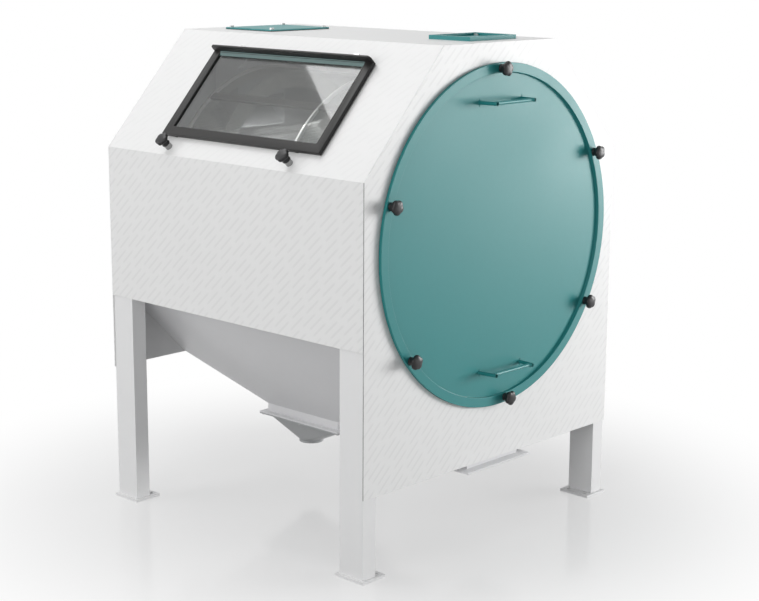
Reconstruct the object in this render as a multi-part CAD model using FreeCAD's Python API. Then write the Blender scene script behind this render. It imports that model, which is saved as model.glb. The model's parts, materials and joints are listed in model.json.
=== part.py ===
import FreeCAD, Part
import math
import os
from FreeCAD import Vector

# Drum sieve with an overhung screen drum in a folded sheet housing on four legs.
# Millimetres, +Z up. The origin is on the floor at the centre of the four feet.
# The round door faces +X and the window faces -Y.

# Housing sheets
housing_length = 1090
door_side_margin = 55
roof_gap = 117
bend_rise = 212
chamfer_depth = 312
panel_sheet = 3
skirt_drop = 252
panel_lip = 25
panel_flange_gap = 10
panel_hole_gap = 2
cut_past = 1

# Legs, feet and rails
leg_x = 90
leg_y = 50
leg_wall = 4
leg_bend_gap = 20
foot_thickness = 8
foot_overhang = 9
foot_inward = 32
anchor_hole_radius = 7
anchor_spacing = 64
anchor_inset = 17
rail_size = 50
rail_wall = 3
beam_gap = 5

# Drum
drum_radius = 440
ring_depth = 35
ring_width = 8
inlet_ring_inset = 140
outlet_ring_inset = 190
short_section_pitch = 280
bar_count = 6
bar_phase = 5.5
bar_width = 24
bar_depth = 9
jacket_sheet = 2
jacket_count = 3
jacket_seam = 2
seat_gap = 0.3
flight_height = 55
flight_sheet = 3
flight_pitch = 360
flight_facet = 10
arm_count = 4
arm_width = 50
arm_root = 5
hub_radius = 52
hub_length = 76
shaft_radius = 30
shaft_nose_radius = 25
shaft_seat_gap = 0.06

# Drive
running_gap = 0.05
plate_thickness = 12
plate_width = 260
plate_margin = 15
cartridge_radius = 70
cartridge_length = 190
cartridge_flange_radius = 115
cartridge_flange = 14
cartridge_nose = 12
flange_bolt_count = 4
gearbox_gap = 10
gearbox_depth = 112
gearbox_width = 170
gearbox_height = 196
gearbox_corner = 18
gearbox_hub_radius = 42
gearbox_hub = 6
motor_radius = 58
motor_length = 170
motor_flange = 12
motor_fins = 18
fin_height = 8
fin_sheet = 4
cowl_length = 62
cowl_border = 10
cowl_slots = 3
cowl_slot_pitch = 13
cowl_slot_depth = 4
terminal_size = 92
terminal_depth = 46
gland_radius = 11
gland_length = 14
arm_depth = 56
arm_sheet = 12
arm_flange_shift = 23
shaft_tail = 8
drive_bolt_radius = 6
beam_bolt_edge = 24

# Bolt heads, as shares of the shank radius
hexagon_sides = 6
head_corner_share = 1.9
head_height_share = 1.3

# Door
door_margin = 60
door_stand = 12
door_recess = 10
door_sheet = 3
door_step = 8
door_gap = 2
rim_lap = 2
opening_edge = 4
door_knob_angles = (25.5, 91.5, 163.2, 218.3, 274, 328.8)
gasket_width = 7
gasket_stud_gap = 0.7
insert_radius = 10
insert_depth = 14
stud_radius = 5
stud_gap = 0.4
stud_reach = 12
handle_base = 200
handle_span = 162
handle_height = 55
handle_rod_radius = 4.5
handle_bend = 14
handle_inset = 73
upper_handle_shift = 0
lower_handle_shift = 20
lozenge_long = 34
lozenge_short = 24
lozenge_sheet = 2.5

# Star knobs
knob_radius = 20
knob_head = 23
knob_lobes = 5
knob_neck = 8
knob_crown = 6
knob_waist = 0.52
knob_top = 0.78
lobe_share = 0.2
hollow = 0.76

# Window flap
window_side_margin = 211
window_top_margin = 80.155
window_x = 9
window_rise = 64
window_border = 30
frame_thickness = 12
seal_thickness = 3
seal_inset = 11
seal_top_inset = 2
sight_gap = 2
glass_thickness = 5.5
glass_rebate = 12
lip_height = 35
lip_sheet = 6
lip_corner = 12
top_border = 10
top_rebate = 6
hinge_offset = 8
hinge_height = 8
hinge_pin_radius = 3
hinge_inset = 94
knuckle_radius = 6
knuckle_length = 20
knuckle_web = 6
latch_drop = 36
latch_x = -16.5
latch_inset = 75.5
latch_shaft_radius = 5
shaft_hole_gap = 3
collar_radius = 11
collar_height = 15
tongue_reach = 45
tongue_width = 9
tongue_sheet = 3
tongue_drop = 3
catch_width = 16
catch_inset = 2.2
catch_sheet = 3
catch_foot = 3
catch_slot_gap = 1.5
pane_gap = 0.3
bracket_length = 22
bracket_sheet = 3

# Inlet and aspiration openings in the top
inlet_inset = 195
inlet_y = -25
inlet_cover_x = 210
inlet_cover_y = 250
inlet_bolts_x = 187
inlet_bolts_y = 222
inlet_opening_x = 170
inlet_opening_y = 200
cover_sheet = 4
cover_gasket = 2
chute_sheet = 3
aspiration_inset = 145
aspiration_y = 45
collar_x = 156
collar_y = 206
collar_wall = 12
collar_rise = 12
aspiration_opening_x = 92
aspiration_opening_y = 142
aspiration_bolts_x = 107
aspiration_bolts_y = 157
bolt_radius = 4
fit_gap = 0.3
cover_fit = 0.5
chute_wall_gap = 7
chute_ring_gap = 16
chute_drop = 8
chute_shoulder = 62
mouth_drop = 98
mouth_height = 100
mouth_floor_rise = 90

# Hopper, outlet transition and coarse chute, stacked up from the floor
spout_clearance = 130
spout_length = 8
transition_height = 85
flange_sheet = 4
flange_overhang = 20
neck_depth = 26
hopper_depth = 188
drum_floor_gap = 23
left_slope_drop = 20
trough_shoulder = 47
hopper_sheet = 3
neck_half_width = 100
neck_inset = 214
neck_length = 320
spout_inset = 99
spout_radius = 40
corner_folds = 6
coarse_width = 142
coarse_half_width = 115
coarse_neck_depth = 25
coarse_flange_sheet = 6
coarse_overhang = 27
wall_ring_gap = 16
drum_wall_gap = 5
screw_radius = 3

# Heights from the floor up to the roof
spout_bottom = spout_clearance
spout_top = spout_bottom + spout_length
neck_bottom = spout_top + transition_height + 2 * flange_sheet
neck_top = neck_bottom + neck_depth
slope_right_top = neck_top + hopper_depth
left_panel_bottom = slope_right_top - left_slope_drop
coarse_flange_top = neck_top - coarse_neck_depth
right_panel_bottom = coarse_flange_top + panel_flange_gap
axis_height = slope_right_top + drum_floor_gap + drum_radius
skirt_height = axis_height - skirt_drop
bend_height = axis_height + bend_rise
housing_height = axis_height + drum_radius + roof_gap
leg_top = bend_height - leg_bend_gap

# Door and housing round the drum
door_radius = drum_radius + door_margin
door_knob_radius = door_radius - door_sheet - seat_gap - gasket_width - gasket_stud_gap - stud_radius
door_opening_radius = door_knob_radius - insert_radius - opening_edge
handle_lift = door_opening_radius - rim_lap - handle_inset
housing_width = 2 * (door_radius + door_side_margin)

half_length = housing_length / 2
half_width = housing_width / 2
inside_x = half_length - panel_sheet
inside_y = half_width - panel_sheet
roof_half = half_width - chamfer_depth
slope_length = math.hypot(chamfer_depth, housing_height - bend_height)
slope_angle = math.degrees(math.atan2(housing_height - bend_height, chamfer_depth))
post_y = inside_y - leg_y
rail_top = skirt_height + rail_size
beam_rise = axis_height - rail_top - beam_gap - rail_size / 2
jacket_radius = drum_radius - bar_depth - seat_gap
inlet_ring_x = inlet_ring_inset - half_length
outlet_ring_x = half_length - outlet_ring_inset
middle_ring_x = outlet_ring_x - short_section_pitch
wall_x = outlet_ring_x - ring_width / 2 - wall_ring_gap
neck_left_x = neck_inset - inside_x
neck_right_x = neck_left_x + neck_length
spout_x = neck_left_x + spout_inset
coarse_left_x = inside_x - coarse_width
inlet_x = inlet_inset - half_length
aspiration_x = half_length - aspiration_inset
window_width = housing_length - 2 * window_side_margin
window_height = slope_length - window_rise - window_top_margin
door_face = half_length + door_stand
x_axis = Vector(1, 0, 0)
z_axis = Vector(0, 0, 1)


def save(name, *solids):
    shape = solids[0] if len(solids) == 1 else Part.makeCompound(list(solids))
    shape.exportStep(os.path.join("parts", name + ".step"))


def box(x, y, z):
    return Part.makeBox(x[1] - x[0], y[1] - y[0], z[1] - z[0], Vector(x[0], y[0], z[0]))


def rod_x(radius, x0, x1, y=0, z=axis_height):
    return Part.makeCylinder(radius, x1 - x0, Vector(x0, y, z), x_axis)


def rod_z(radius, z0, z1, x=0, y=0):
    return Part.makeCylinder(radius, z1 - z0, Vector(x, y, z0), z_axis)


def ring_x(outer, inner, x0, x1):
    return rod_x(outer, x0, x1).cut(rod_x(inner, x0 - cut_past, x1 + cut_past))


def prism(points, depth):
    return Part.Face(Part.makePolygon(points + points[:1])).extrude(depth)


def prism_x(outline, x0, x1):
    return prism([Vector(x0, y, z) for y, z in outline], Vector(x1 - x0, 0, 0))


def prism_y(outline, y0, y1):
    return prism([Vector(x, y0, z) for x, z in outline], Vector(0, y1 - y0, 0))


def prism_z(outline, z0, z1):
    return prism([Vector(x, y, z0) for x, y in outline], Vector(0, 0, z1 - z0))


def fused(solids):
    result = solids[0].fuse(solids[1:])
    return result.removeSplitter()


def faceted(loops):
    # A closed solid from the corner loops of its flat faces.
    faces = [Part.Face(Part.makePolygon(loop + loop[:1])) for loop in loops]
    solid = Part.Solid(Part.Shell(faces))
    return solid if solid.Volume > 0 else solid.reversed()


def side_loops(first, last):
    # The four-sided faces between two rings of corners.
    turned = range(-1, len(first) - 1)
    return [[first[i], first[i + 1], last[i + 1], last[i]] for i in turned]


def inset(outline, distance):
    # Moves an open outline to its right-hand side, mitred at the bends.
    moved = []
    for index, point in enumerate(outline):
        normals = []
        for first, last in ((index - 1, index), (index, index + 1)):
            if first < 0 or last >= len(outline):
                continue
            dy = outline[last][0] - outline[first][0]
            dz = outline[last][1] - outline[first][1]
            length = math.hypot(dy, dz)
            normals.append((dz / length, -dy / length))
        ny = sum(normal[0] for normal in normals)
        nz = sum(normal[1] for normal in normals)
        scale = distance * len(normals) / (ny * ny + nz * nz)
        moved.append((point[0] + ny * scale, point[1] + nz * scale))
    return moved


def shell_outline(bottom):
    left = [(-half_width, bottom), (-half_width, bend_height), (-roof_half, housing_height)]
    return left + [(-y, z) for y, z in reversed(left)]


def on_slope(shape):
    # From the flat frame (x, up the slope, off the sheet) to the front chamfer.
    placed = shape.copy()
    placed.rotate(Vector(0, 0, 0), x_axis, slope_angle)
    placed.translate(Vector(0, -half_width, bend_height))
    return placed


def folded_panel(first, last, lip_first):
    outline = shell_outline(skirt_height)
    skin = inset(outline, panel_sheet)
    lips = inset(outline, panel_sheet + panel_lip)
    section = outline[first:last + 1] + skin[first:last + 1][::-1]
    pieces = [prism_x(section, -inside_x, inside_x)]
    lip_last = lip_first + 1
    lip_section = [skin[lip_first], skin[lip_last], lips[lip_last], lips[lip_first]]
    for x in (-inside_x, inside_x - panel_sheet):
        pieces.append(prism_x(lip_section, x, x + panel_sheet))
    return fused(pieces)


window_left = window_x - window_width / 2
window_right = window_x + window_width / 2
window_top = window_rise + window_height


def window_opening(margin, low, high):
    # The clear opening inside the frame borders, grown by a margin.
    x = (window_left + window_border - margin, window_right - window_border + margin)
    s = (window_rise + window_border - margin, window_top - top_border + margin)
    return box(x, s, (low, high))


def latch_places():
    spread = window_width / 2 - latch_inset
    return [(latch_x + side * spread, window_rise - latch_drop) for side in (-1, 1)]


def catch_span():
    low = window_rise + catch_inset
    return low, low + catch_sheet


def hinge_centres():
    spread = window_width / 2 - hinge_inset
    return [window_x + side * spread for side in (-1, 1)]


def front_panel():
    panel = folded_panel(0, 2, 1)
    sheet = (-2 * panel_sheet, panel_sheet)
    cuts = [window_opening(sight_gap, *sheet)]
    low, high = catch_span()
    slot_s = (low - catch_slot_gap, high + catch_slot_gap)
    slot_x = catch_width / 2 + catch_slot_gap
    for x, s in latch_places():
        cuts.append(rod_z(latch_shaft_radius + shaft_hole_gap, *sheet, x, s))
        cuts.append(box((x - slot_x, x + slot_x), slot_s, sheet))
    return cut_by(panel, [on_slope(cut) for cut in cuts])


def rear_panel():
    return folded_panel(3, 5, 3)


def top_panel():
    panel = folded_panel(2, 3, 2)
    z = (housing_height - 2 * panel_sheet, housing_height + cut_past)
    inlet = plate_over(inlet_x, inlet_y, (inlet_opening_x, inlet_opening_y), z)
    aspiration = plate_over(aspiration_x, aspiration_y, (aspiration_opening_x, aspiration_opening_y), z)
    return cut_by(panel, [inlet, aspiration])


def left_end_panel():
    panel = prism_x(shell_outline(left_panel_bottom), -half_length, -inside_x)
    return panel.cut(rod_x(cartridge_radius + panel_hole_gap, -half_length - cut_past, -inside_x + cut_past))


def knob_places():
    places = []
    for angle in door_knob_angles:
        turn = math.radians(angle)
        y = door_knob_radius * math.cos(turn)
        z = axis_height + door_knob_radius * math.sin(turn)
        places.append((y, z))
    return places


def right_end_panel():
    panel = prism_x(shell_outline(right_panel_bottom), inside_x, half_length)
    x = (inside_x - cut_past, half_length + cut_past)
    holes = [rod_x(stud_radius + stud_gap, *x, y, z) for y, z in knob_places()]
    return cut_by(panel, [rod_x(door_opening_radius, *x)] + holes)


def door_inserts():
    inserts = []
    x = (inside_x - insert_depth - cut_past, inside_x + cut_past)
    for y, z in knob_places():
        body = pointing(hexagon(insert_radius, insert_depth), (inside_x, y, z), -x_axis)
        inserts.append(body.cut(rod_x(stud_radius + stud_gap, *x, y, z)))
    return inserts


def leg(side_x, side_y):
    x = sorted((side_x * inside_x, side_x * (inside_x - leg_x)))
    y = sorted((side_y * inside_y, side_y * post_y))
    tube = box(x, y, (foot_thickness, leg_top))
    inner_x = (x[0] + leg_wall, x[1] - leg_wall)
    inner_y = (y[0] + leg_wall, y[1] - leg_wall)
    return tube.cut(box(inner_x, inner_y, (foot_thickness - cut_past, leg_top - leg_wall)))


def foot_plate(side_x, side_y):
    x = sorted((side_x * (inside_x + foot_overhang), side_x * (inside_x - leg_x - foot_overhang)))
    y = sorted((side_y * (inside_y + foot_overhang), side_y * (post_y - foot_inward)))
    plate = box(x, y, (0, foot_thickness))
    centre_x = side_x * (inside_x - leg_x / 2)
    centre_y = side_y * (post_y - foot_inward + anchor_inset)
    for shift in (-anchor_spacing / 2, anchor_spacing / 2):
        hole = rod_z(anchor_hole_radius, -cut_past, foot_thickness + cut_past, centre_x + shift, centre_y)
        plate = plate.cut(hole)
    return plate


def tube_between(x, y, z, wall, along):
    outer = [x, y, z]
    inner = [(low + wall, high - wall) for low, high in outer]
    inner[along] = (outer[along][0] - cut_past, outer[along][1] + cut_past)
    return box(*outer).cut(box(*inner))


def long_rails():
    rails = []
    x = (leg_x - inside_x, inside_x - leg_x)
    for side in (-1, 1):
        y = sorted((side * inside_y, side * post_y))
        rails.append(tube_between(x, tuple(y), (skirt_height, rail_top), rail_wall, 0))
    return rails


def bearing_beams():
    beams = []
    for side in (-1, 1):
        z = axis_height + side * beam_rise
        span_z = (z - rail_size / 2, z + rail_size / 2)
        span_x = (-inside_x, rail_size - inside_x)
        beams.append(tube_between(span_x, (-post_y, post_y), span_z, rail_wall, 1))
    return beams


def opened(outline, sheet):
    # The inside of a half section, run out past its two ends.
    inner = inset(outline, sheet)
    inner[0] = (inner[0][0], inner[0][1] + cut_past)
    inner[-1] = (inner[-1][0], inner[-1][1] - cut_past)
    return inner


def mirrored(outline):
    return [(-a, z) for a, z in outline]


def funnel(side, left, right, sheet):
    # Thin funnel from half sections that run from the rim down to the neck.
    # side is (y, z) of the +Y half; left and right are (x, z) of the two ends.
    solids = []
    outer = (side, mirrored(left), right)
    for across, west, east in (outer, [opened(half, sheet) for half in outer]):
        across_solid = prism_x(across + mirrored(across)[::-1], -housing_length, housing_length)
        along_solid = prism_y(east + mirrored(west)[::-1], -housing_width, housing_width)
        solids.append(across_solid.common(along_solid))
    return solids[0].cut(solids[1])


def trough_side(neck_half, low):
    bend = rail_top - trough_shoulder - (neck_half - neck_half_width)
    return [(post_y, rail_top), (post_y, bend), (neck_half, neck_top), (neck_half, low)]


def flange_plate(x, y, z, overhang, sheet):
    outer = box((x[0] - overhang, x[1] + overhang), (y[0] - overhang, y[1] + overhang), z)
    inner_z = (z[0] - cut_past, z[1] + cut_past)
    return outer.cut(box((x[0] + sheet, x[1] - sheet), (y[0] + sheet, y[1] - sheet), inner_z))


neck_x = (neck_left_x, neck_right_x)
neck_y = (-neck_half_width, neck_half_width)


def fines_hopper():
    left = [(-inside_x, rail_top), (-inside_x, left_panel_bottom)]
    left += [(neck_left_x, neck_top), (neck_left_x, neck_bottom)]
    right = [(wall_x, rail_top), (wall_x, slope_right_top)]
    right += [(neck_right_x, neck_top), (neck_right_x, neck_bottom)]
    shell = funnel(trough_side(neck_half_width, neck_bottom), left, right, hopper_sheet)
    shell = shell.cut(rod_x(drum_radius + drum_wall_gap, inlet_ring_x, wall_x + cut_past))
    flange_z = (neck_bottom - flange_sheet, neck_bottom)
    flange = flange_plate(neck_x, neck_y, flange_z, flange_overhang, hopper_sheet)
    return fused([shell, flange])


def coarse_chute():
    wall = wall_x + hopper_sheet
    left = [(wall, rail_top), (wall, slope_right_top)]
    left += [(coarse_left_x, neck_top), (coarse_left_x, coarse_flange_top)]
    right = [(inside_x, rail_top), (inside_x, coarse_flange_top)]
    shell = funnel(trough_side(coarse_half_width, coarse_flange_top), left, right, hopper_sheet)
    shell = shell.cut(rod_x(door_knob_radius + insert_radius + door_gap, wall_x, inside_x + cut_past))
    flange_z = (coarse_flange_top - coarse_flange_sheet, coarse_flange_top)
    mouth_x = (coarse_left_x, inside_x)
    mouth_y = (-coarse_half_width, coarse_half_width)
    return fused([shell, flange_plate(mouth_x, mouth_y, flange_z, coarse_overhang, hopper_sheet)])


def dividing_wall():
    skin = inset(shell_outline(skirt_height), panel_sheet)
    bend = rail_top - trough_shoulder
    share = (slope_right_top - neck_top) / (bend - neck_top)
    low_half = neck_half_width + share * (post_y - neck_half_width)
    right = [(inside_y, rail_top), (post_y, rail_top), (post_y, bend), (low_half, slope_right_top)]
    outline = skin[1:5] + right + mirrored(right)[::-1]
    wall = prism_x(outline, wall_x, wall_x + hopper_sheet)
    return wall.cut(rod_x(drum_radius + drum_wall_gap, wall_x - cut_past, wall_x + hopper_sheet + cut_past))


def rectangle_to_round(shift, top, bottom):
    # Folded like sheet: one flat triangle a side and narrow ones round each corner.
    x = (neck_left_x + shift, neck_right_x - shift)
    half = neck_half_width - shift
    corners = [Vector(x[i], j * half, top) for i, j in ((1, 1), (0, 1), (0, -1), (1, -1))]
    radius = spout_radius - shift
    rim = []
    for index in range(4 * corner_folds):
        turn = 2 * math.pi * index / (4 * corner_folds)
        rim.append(Vector(spout_x + radius * math.cos(turn), radius * math.sin(turn), bottom))
    loops = [corners, rim]
    for quarter, corner in enumerate(corners):
        first = quarter * corner_folds
        for step in range(corner_folds):
            loops.append([corner, rim[first + step], rim[(first + step + 1) % len(rim)]])
        loops.append([corners[quarter - 1], corner, rim[first]])
    return faceted(loops)


def outlet_transition():
    top = neck_bottom - flange_sheet
    under = top - flange_sheet
    outer = rectangle_to_round(0, under, spout_top)
    inner = rectangle_to_round(hopper_sheet, under, spout_top)
    flange = flange_plate(neck_x, neck_y, (under, top), flange_overhang, hopper_sheet)
    collar = rod_z(spout_radius, spout_bottom, spout_top, spout_x)
    bore = rod_z(spout_radius - hopper_sheet, spout_bottom - cut_past, spout_top + cut_past, spout_x)
    return fused([outer.cut(inner), flange, collar.cut(bore)])


def outlet_screws():
    screws = []
    under = neck_bottom - 2 * flange_sheet
    middle = flange_overhang / 2
    for x in (neck_left_x - middle, (neck_left_x + neck_right_x) / 2, neck_right_x + middle):
        for y in (-neck_half_width - middle, neck_half_width + middle):
            screws.append(pointing(bolt_head(screw_radius), (x, y, under), -z_axis))
    return screws


def cut_by(shape, tools):
    for tool in tools:
        shape = shape.cut(tool)
    return shape


def inlet_chute():
    ceiling = housing_height - panel_sheet
    west = -inside_x + chute_wall_gap
    east = inlet_ring_x - ring_width / 2 - chute_ring_gap
    half_y = inlet_opening_y / 2
    mouth_high = axis_height + drum_radius - mouth_drop
    mouth_low = mouth_high - mouth_height
    right = [(inlet_x + inlet_opening_x / 2, ceiling), (east, axis_height + drum_radius - chute_drop)]
    right.append((east, mouth_high))
    left = [(east, mouth_low), (west, mouth_low + mouth_floor_rise)]
    left += [(west, ceiling - chute_shoulder), (inlet_x - inlet_opening_x / 2, ceiling)]
    inner_right = inset(right, chute_sheet)
    inner_left = inset(left, chute_sheet)
    inner_right[0] = (inner_right[0][0], ceiling + cut_past)
    inner_left[-1] = (inner_left[-1][0], ceiling + cut_past)
    mouth = [(inner_left[0][0], mouth_high)]
    outer_y = (inlet_y - half_y, inlet_y + half_y)
    outer = prism_y(right + left, *outer_y)
    inner = prism_y(inner_right + mouth + inner_left, outer_y[0] + chute_sheet, outer_y[1] - chute_sheet)
    return outer.cut(inner)


def plate_over(x, y, size, z):
    return box((x - size[0] / 2, x + size[0] / 2), (y - size[1] / 2, y + size[1] / 2), z)


def corner_places(x, y, spacing):
    return [(x + i * spacing[0] / 2, y + j * spacing[1] / 2) for i in (-1, 1) for j in (-1, 1)]


def hexagon(radius, height):
    turns = [2 * math.pi * index / hexagon_sides for index in range(hexagon_sides)]
    return prism_z([(radius * math.cos(turn), radius * math.sin(turn)) for turn in turns], 0, height)


def bolt_head(shank_radius):
    # Hexagon head on its underside; the shank is left out with its hole.
    return hexagon(shank_radius * head_corner_share, shank_radius * head_height_share)


def pointing(shape, place, direction):
    placed = shape.copy()
    placed.Placement = FreeCAD.Placement(Vector(*place), FreeCAD.Rotation(z_axis, direction))
    return placed


inlet_places = corner_places(inlet_x, inlet_y, (inlet_bolts_x, inlet_bolts_y))
aspiration_places = corner_places(aspiration_x, aspiration_y, (aspiration_bolts_x, aspiration_bolts_y))
inlet_cover_top = housing_height + cover_gasket + cover_sheet


def inlet_gasket():
    z = (housing_height, housing_height + cover_gasket)
    plate = plate_over(inlet_x, inlet_y, (inlet_cover_x, inlet_cover_y), z)
    inner_z = (z[0] - cut_past, z[1] + cut_past)
    return plate.cut(plate_over(inlet_x, inlet_y, (inlet_opening_x, inlet_opening_y), inner_z))


def inlet_cover():
    z = (housing_height + cover_gasket, inlet_cover_top)
    return plate_over(inlet_x, inlet_y, (inlet_cover_x, inlet_cover_y), z)


def cover_bolts(places, top):
    return [pointing(bolt_head(bolt_radius), (x, y, top), z_axis) for x, y in places]


def aspiration_collar():
    z = (housing_height, housing_height + collar_rise)
    size = (collar_x, collar_y)
    inner = (collar_x - 2 * collar_wall, collar_y - 2 * collar_wall)
    frame = plate_over(aspiration_x, aspiration_y, size, z)
    return frame.cut(plate_over(aspiration_x, aspiration_y, inner, (z[0] - cut_past, z[1] + cut_past)))


def aspiration_cover():
    z = (housing_height, housing_height + cover_sheet)
    size = (collar_x - 2 * collar_wall - 2 * cover_fit, collar_y - 2 * collar_wall - 2 * cover_fit)
    return plate_over(aspiration_x, aspiration_y, size, z)


# Drive line positions along X
plate_back = -half_length - plate_thickness
cartridge_back = plate_back - cartridge_length
cartridge_front = -inside_x + cartridge_nose
gear_front = cartridge_back - gearbox_gap
gear_back = gear_front - gearbox_depth
gear_middle = (gear_front + gear_back) / 2
flange_bolt_radius = (cartridge_radius + cartridge_flange_radius) / 2


def flange_bolt_places():
    places = []
    for index in range(flange_bolt_count):
        turn = 2 * math.pi * (index + 0.5) / flange_bolt_count
        y = flange_bolt_radius * math.cos(turn)
        z = axis_height + flange_bolt_radius * math.sin(turn)
        places.append((y, z))
    return places


def beam_bolt_places():
    y = plate_width / 2 - beam_bolt_edge
    return [(i * y, axis_height + j * beam_rise) for i in (-1, 1) for j in (-1, 1)]


def bearing_plate():
    half_z = beam_rise + rail_size / 2 + plate_margin
    z = (axis_height - half_z, axis_height + half_z)
    plate = box((plate_back, -half_length), (-plate_width / 2, plate_width / 2), z)
    return plate.cut(rod_x(cartridge_radius + seat_gap, plate_back - cut_past, -half_length + cut_past))


def bearing_housing():
    body = fused([
        rod_x(cartridge_radius, cartridge_back, cartridge_front),
        rod_x(cartridge_flange_radius, plate_back - cartridge_flange, plate_back),
    ])
    bore = rod_x(shaft_radius + running_gap, cartridge_back - cut_past, cartridge_front + cut_past)
    return body.cut(bore)


def bearing_bolts():
    places = [(plate_back - cartridge_flange, y, z) for y, z in flange_bolt_places()]
    places += [(plate_back, y, z) for y, z in beam_bolt_places()]
    return [pointing(bolt_head(drive_bolt_radius), place, -x_axis) for place in places]


def gearbox():
    half_y = gearbox_width / 2
    half_z = gearbox_height / 2
    quarter = [(half_y - gearbox_corner, half_z), (half_y, half_z - gearbox_corner)]
    right = quarter + [(y, -z) for y, z in quarter[::-1]]
    outline = [(y, axis_height + z) for y, z in right + mirrored(right)[::-1]]
    body = prism_x(outline, gear_back, gear_front)
    hub = rod_x(gearbox_hub_radius, gear_back - gearbox_hub, gear_front)
    mouth_z = axis_height - gearbox_height / 2
    throat = rod_z(motor_radius, mouth_z - motor_flange, mouth_z, gear_middle)
    body = fused([body, hub, throat])
    bore_back = gear_back - gearbox_hub - cut_past
    return body.cut(rod_x(shaft_nose_radius + running_gap, bore_back, gear_front + cut_past))


motor_top = axis_height - gearbox_height / 2 - motor_flange
motor_bottom = motor_top - motor_length


def motor():
    parts = [rod_z(motor_radius, motor_bottom, motor_top, gear_middle)]
    for index in range(motor_fins):
        fin_y = (-fin_sheet / 2, fin_sheet / 2)
        fin = box((0, motor_radius + fin_height), fin_y, (motor_bottom, motor_top - motor_flange))
        fin.rotate(Vector(0, 0, 0), z_axis, 360 * (index + 0.5) / motor_fins)
        fin.translate(Vector(gear_middle, 0, 0))
        parts.append(fin)
    return fused(parts)


def fan_cowl():
    # Closed inside, with the air slots as grooves in its end.
    radius = motor_radius + fin_height
    low = motor_bottom - cowl_length
    cowl = rod_z(radius, low, motor_bottom, gear_middle)
    for index in range(-cowl_slots, cowl_slots + 1):
        y = index * cowl_slot_pitch
        reach = math.sqrt((radius - cowl_border) ** 2 - y * y)
        across = (y - cowl_slot_pitch / 4, y + cowl_slot_pitch / 4)
        slot_z = (low - cut_past, low + cowl_slot_depth)
        cowl = cowl.cut(box((gear_middle - reach, gear_middle + reach), across, slot_z))
    return cowl


def terminal_box():
    y_face = -motor_radius - fin_height
    z = (motor_top - motor_flange - terminal_size, motor_top - motor_flange)
    half = terminal_size / 2
    body = box((gear_middle - half, gear_middle + half), (y_face - terminal_depth, y_face), z)
    gland = rod_z(gland_radius, z[0] - gland_length, z[0], gear_middle, y_face - terminal_depth / 2)
    return fused([body, gland])


def torque_arm():
    # Bends down past the cartridge flange to its foot on the bearing plate.
    y = gearbox_width / 2
    high = axis_height + arm_depth / 2
    low = high - arm_depth
    foot = axis_height - cartridge_flange_radius + arm_flange_shift
    outline = [(gear_middle, high), (gear_front, high), (plate_back, foot)]
    outline += [(plate_back, foot - arm_depth), (gear_front, low), (gear_middle, low)]
    return prism_y(outline, y, y + arm_sheet)


def drum_shaft():
    shoulder = cartridge_back - gearbox_gap / 2
    nose = rod_x(shaft_nose_radius, gear_back - gearbox_hub - shaft_tail, shoulder)
    body = rod_x(shaft_radius, shoulder, middle_ring_x + hub_length / 2 + shaft_tail)
    return fused([nose, body])


def spider(x):
    sheet = (x - ring_width / 2, x + ring_width / 2)
    solids = [ring_x(drum_radius, drum_radius - ring_depth, *sheet)]
    solids.append(rod_x(hub_radius, x - hub_length / 2, x + hub_length / 2))
    reach = (hub_radius - arm_root, drum_radius - ring_depth + cut_past)
    for index in range(arm_count):
        arm = box(sheet, (-arm_width / 2, arm_width / 2), reach)
        arm.translate(Vector(0, 0, axis_height))
        arm.rotate(Vector(0, 0, axis_height), x_axis, 360 * (index + 0.5) / arm_count)
        solids.append(arm)
    return fused(solids).cut(rod_x(shaft_radius + shaft_seat_gap, x - hub_length, x + hub_length))


def outlet_ring():
    half = ring_width / 2
    return ring_x(drum_radius, drum_radius - ring_depth, outlet_ring_x - half, outlet_ring_x + half)


def sections():
    half = ring_width / 2
    return [(inlet_ring_x + half, middle_ring_x - half), (middle_ring_x + half, outlet_ring_x - half)]


def drum_bars():
    bars = []
    for x in sections():
        for index in range(bar_count):
            z = (drum_radius - bar_depth, drum_radius)
            bar = box(x, (-bar_width / 2, bar_width / 2), z)
            bar.translate(Vector(0, 0, axis_height))
            bar.rotate(Vector(0, 0, axis_height), x_axis, bar_phase - 90 + 360 * index / bar_count)
            bars.append(bar)
    return bars


def jackets(x):
    seam_angle = math.degrees(jacket_seam / jacket_radius)
    sweep = 360 / jacket_count - seam_angle
    sheets = []
    length = x[1] - x[0]
    inner = rod_z(jacket_radius - jacket_sheet, -cut_past, length + cut_past)
    for index in range(jacket_count):
        outer = Part.makeCylinder(jacket_radius, length, Vector(0, 0, 0), z_axis, sweep)
        sheet = outer.cut(inner)
        sheet.rotate(Vector(0, 0, 0), Vector(0, 1, 0), 90)
        start = bar_phase + 360 * index / jacket_count + seam_angle / 2
        sheet.rotate(Vector(0, 0, 0), x_axis, start + 90)
        sheet.translate(Vector(x[0], 0, axis_height))
        sheets.append(sheet)
    return sheets


def spiral(x):
    # A helical flight, pressed in short facets from one end of a drum section to the other.
    outer = jacket_radius - jacket_sheet - seat_gap
    inner = outer - flight_height
    corners = [(outer, 0), (outer, 1), (inner, 1), (inner, 0)]
    length = x[1] - x[0] - flight_sheet - 2 * seat_gap
    facets = math.ceil(360 * length / flight_pitch / flight_facet)
    rings = []
    for index in range(facets + 1):
        turn = 2 * math.pi * length / flight_pitch * index / facets
        start = x[0] + seat_gap + length * index / facets
        ring = []
        for radius, along in corners:
            y = radius * math.cos(turn)
            z = axis_height + radius * math.sin(turn)
            ring.append(Vector(start + along * flight_sheet, y, z))
        rings.append(ring)
    loops = [rings[0], rings[-1]]
    for first, last in zip(rings, rings[1:]):
        for loop in side_loops(first, last):
            loops += [loop[:3], loop[2:] + loop[:1]]
    return faceted(loops)


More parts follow.
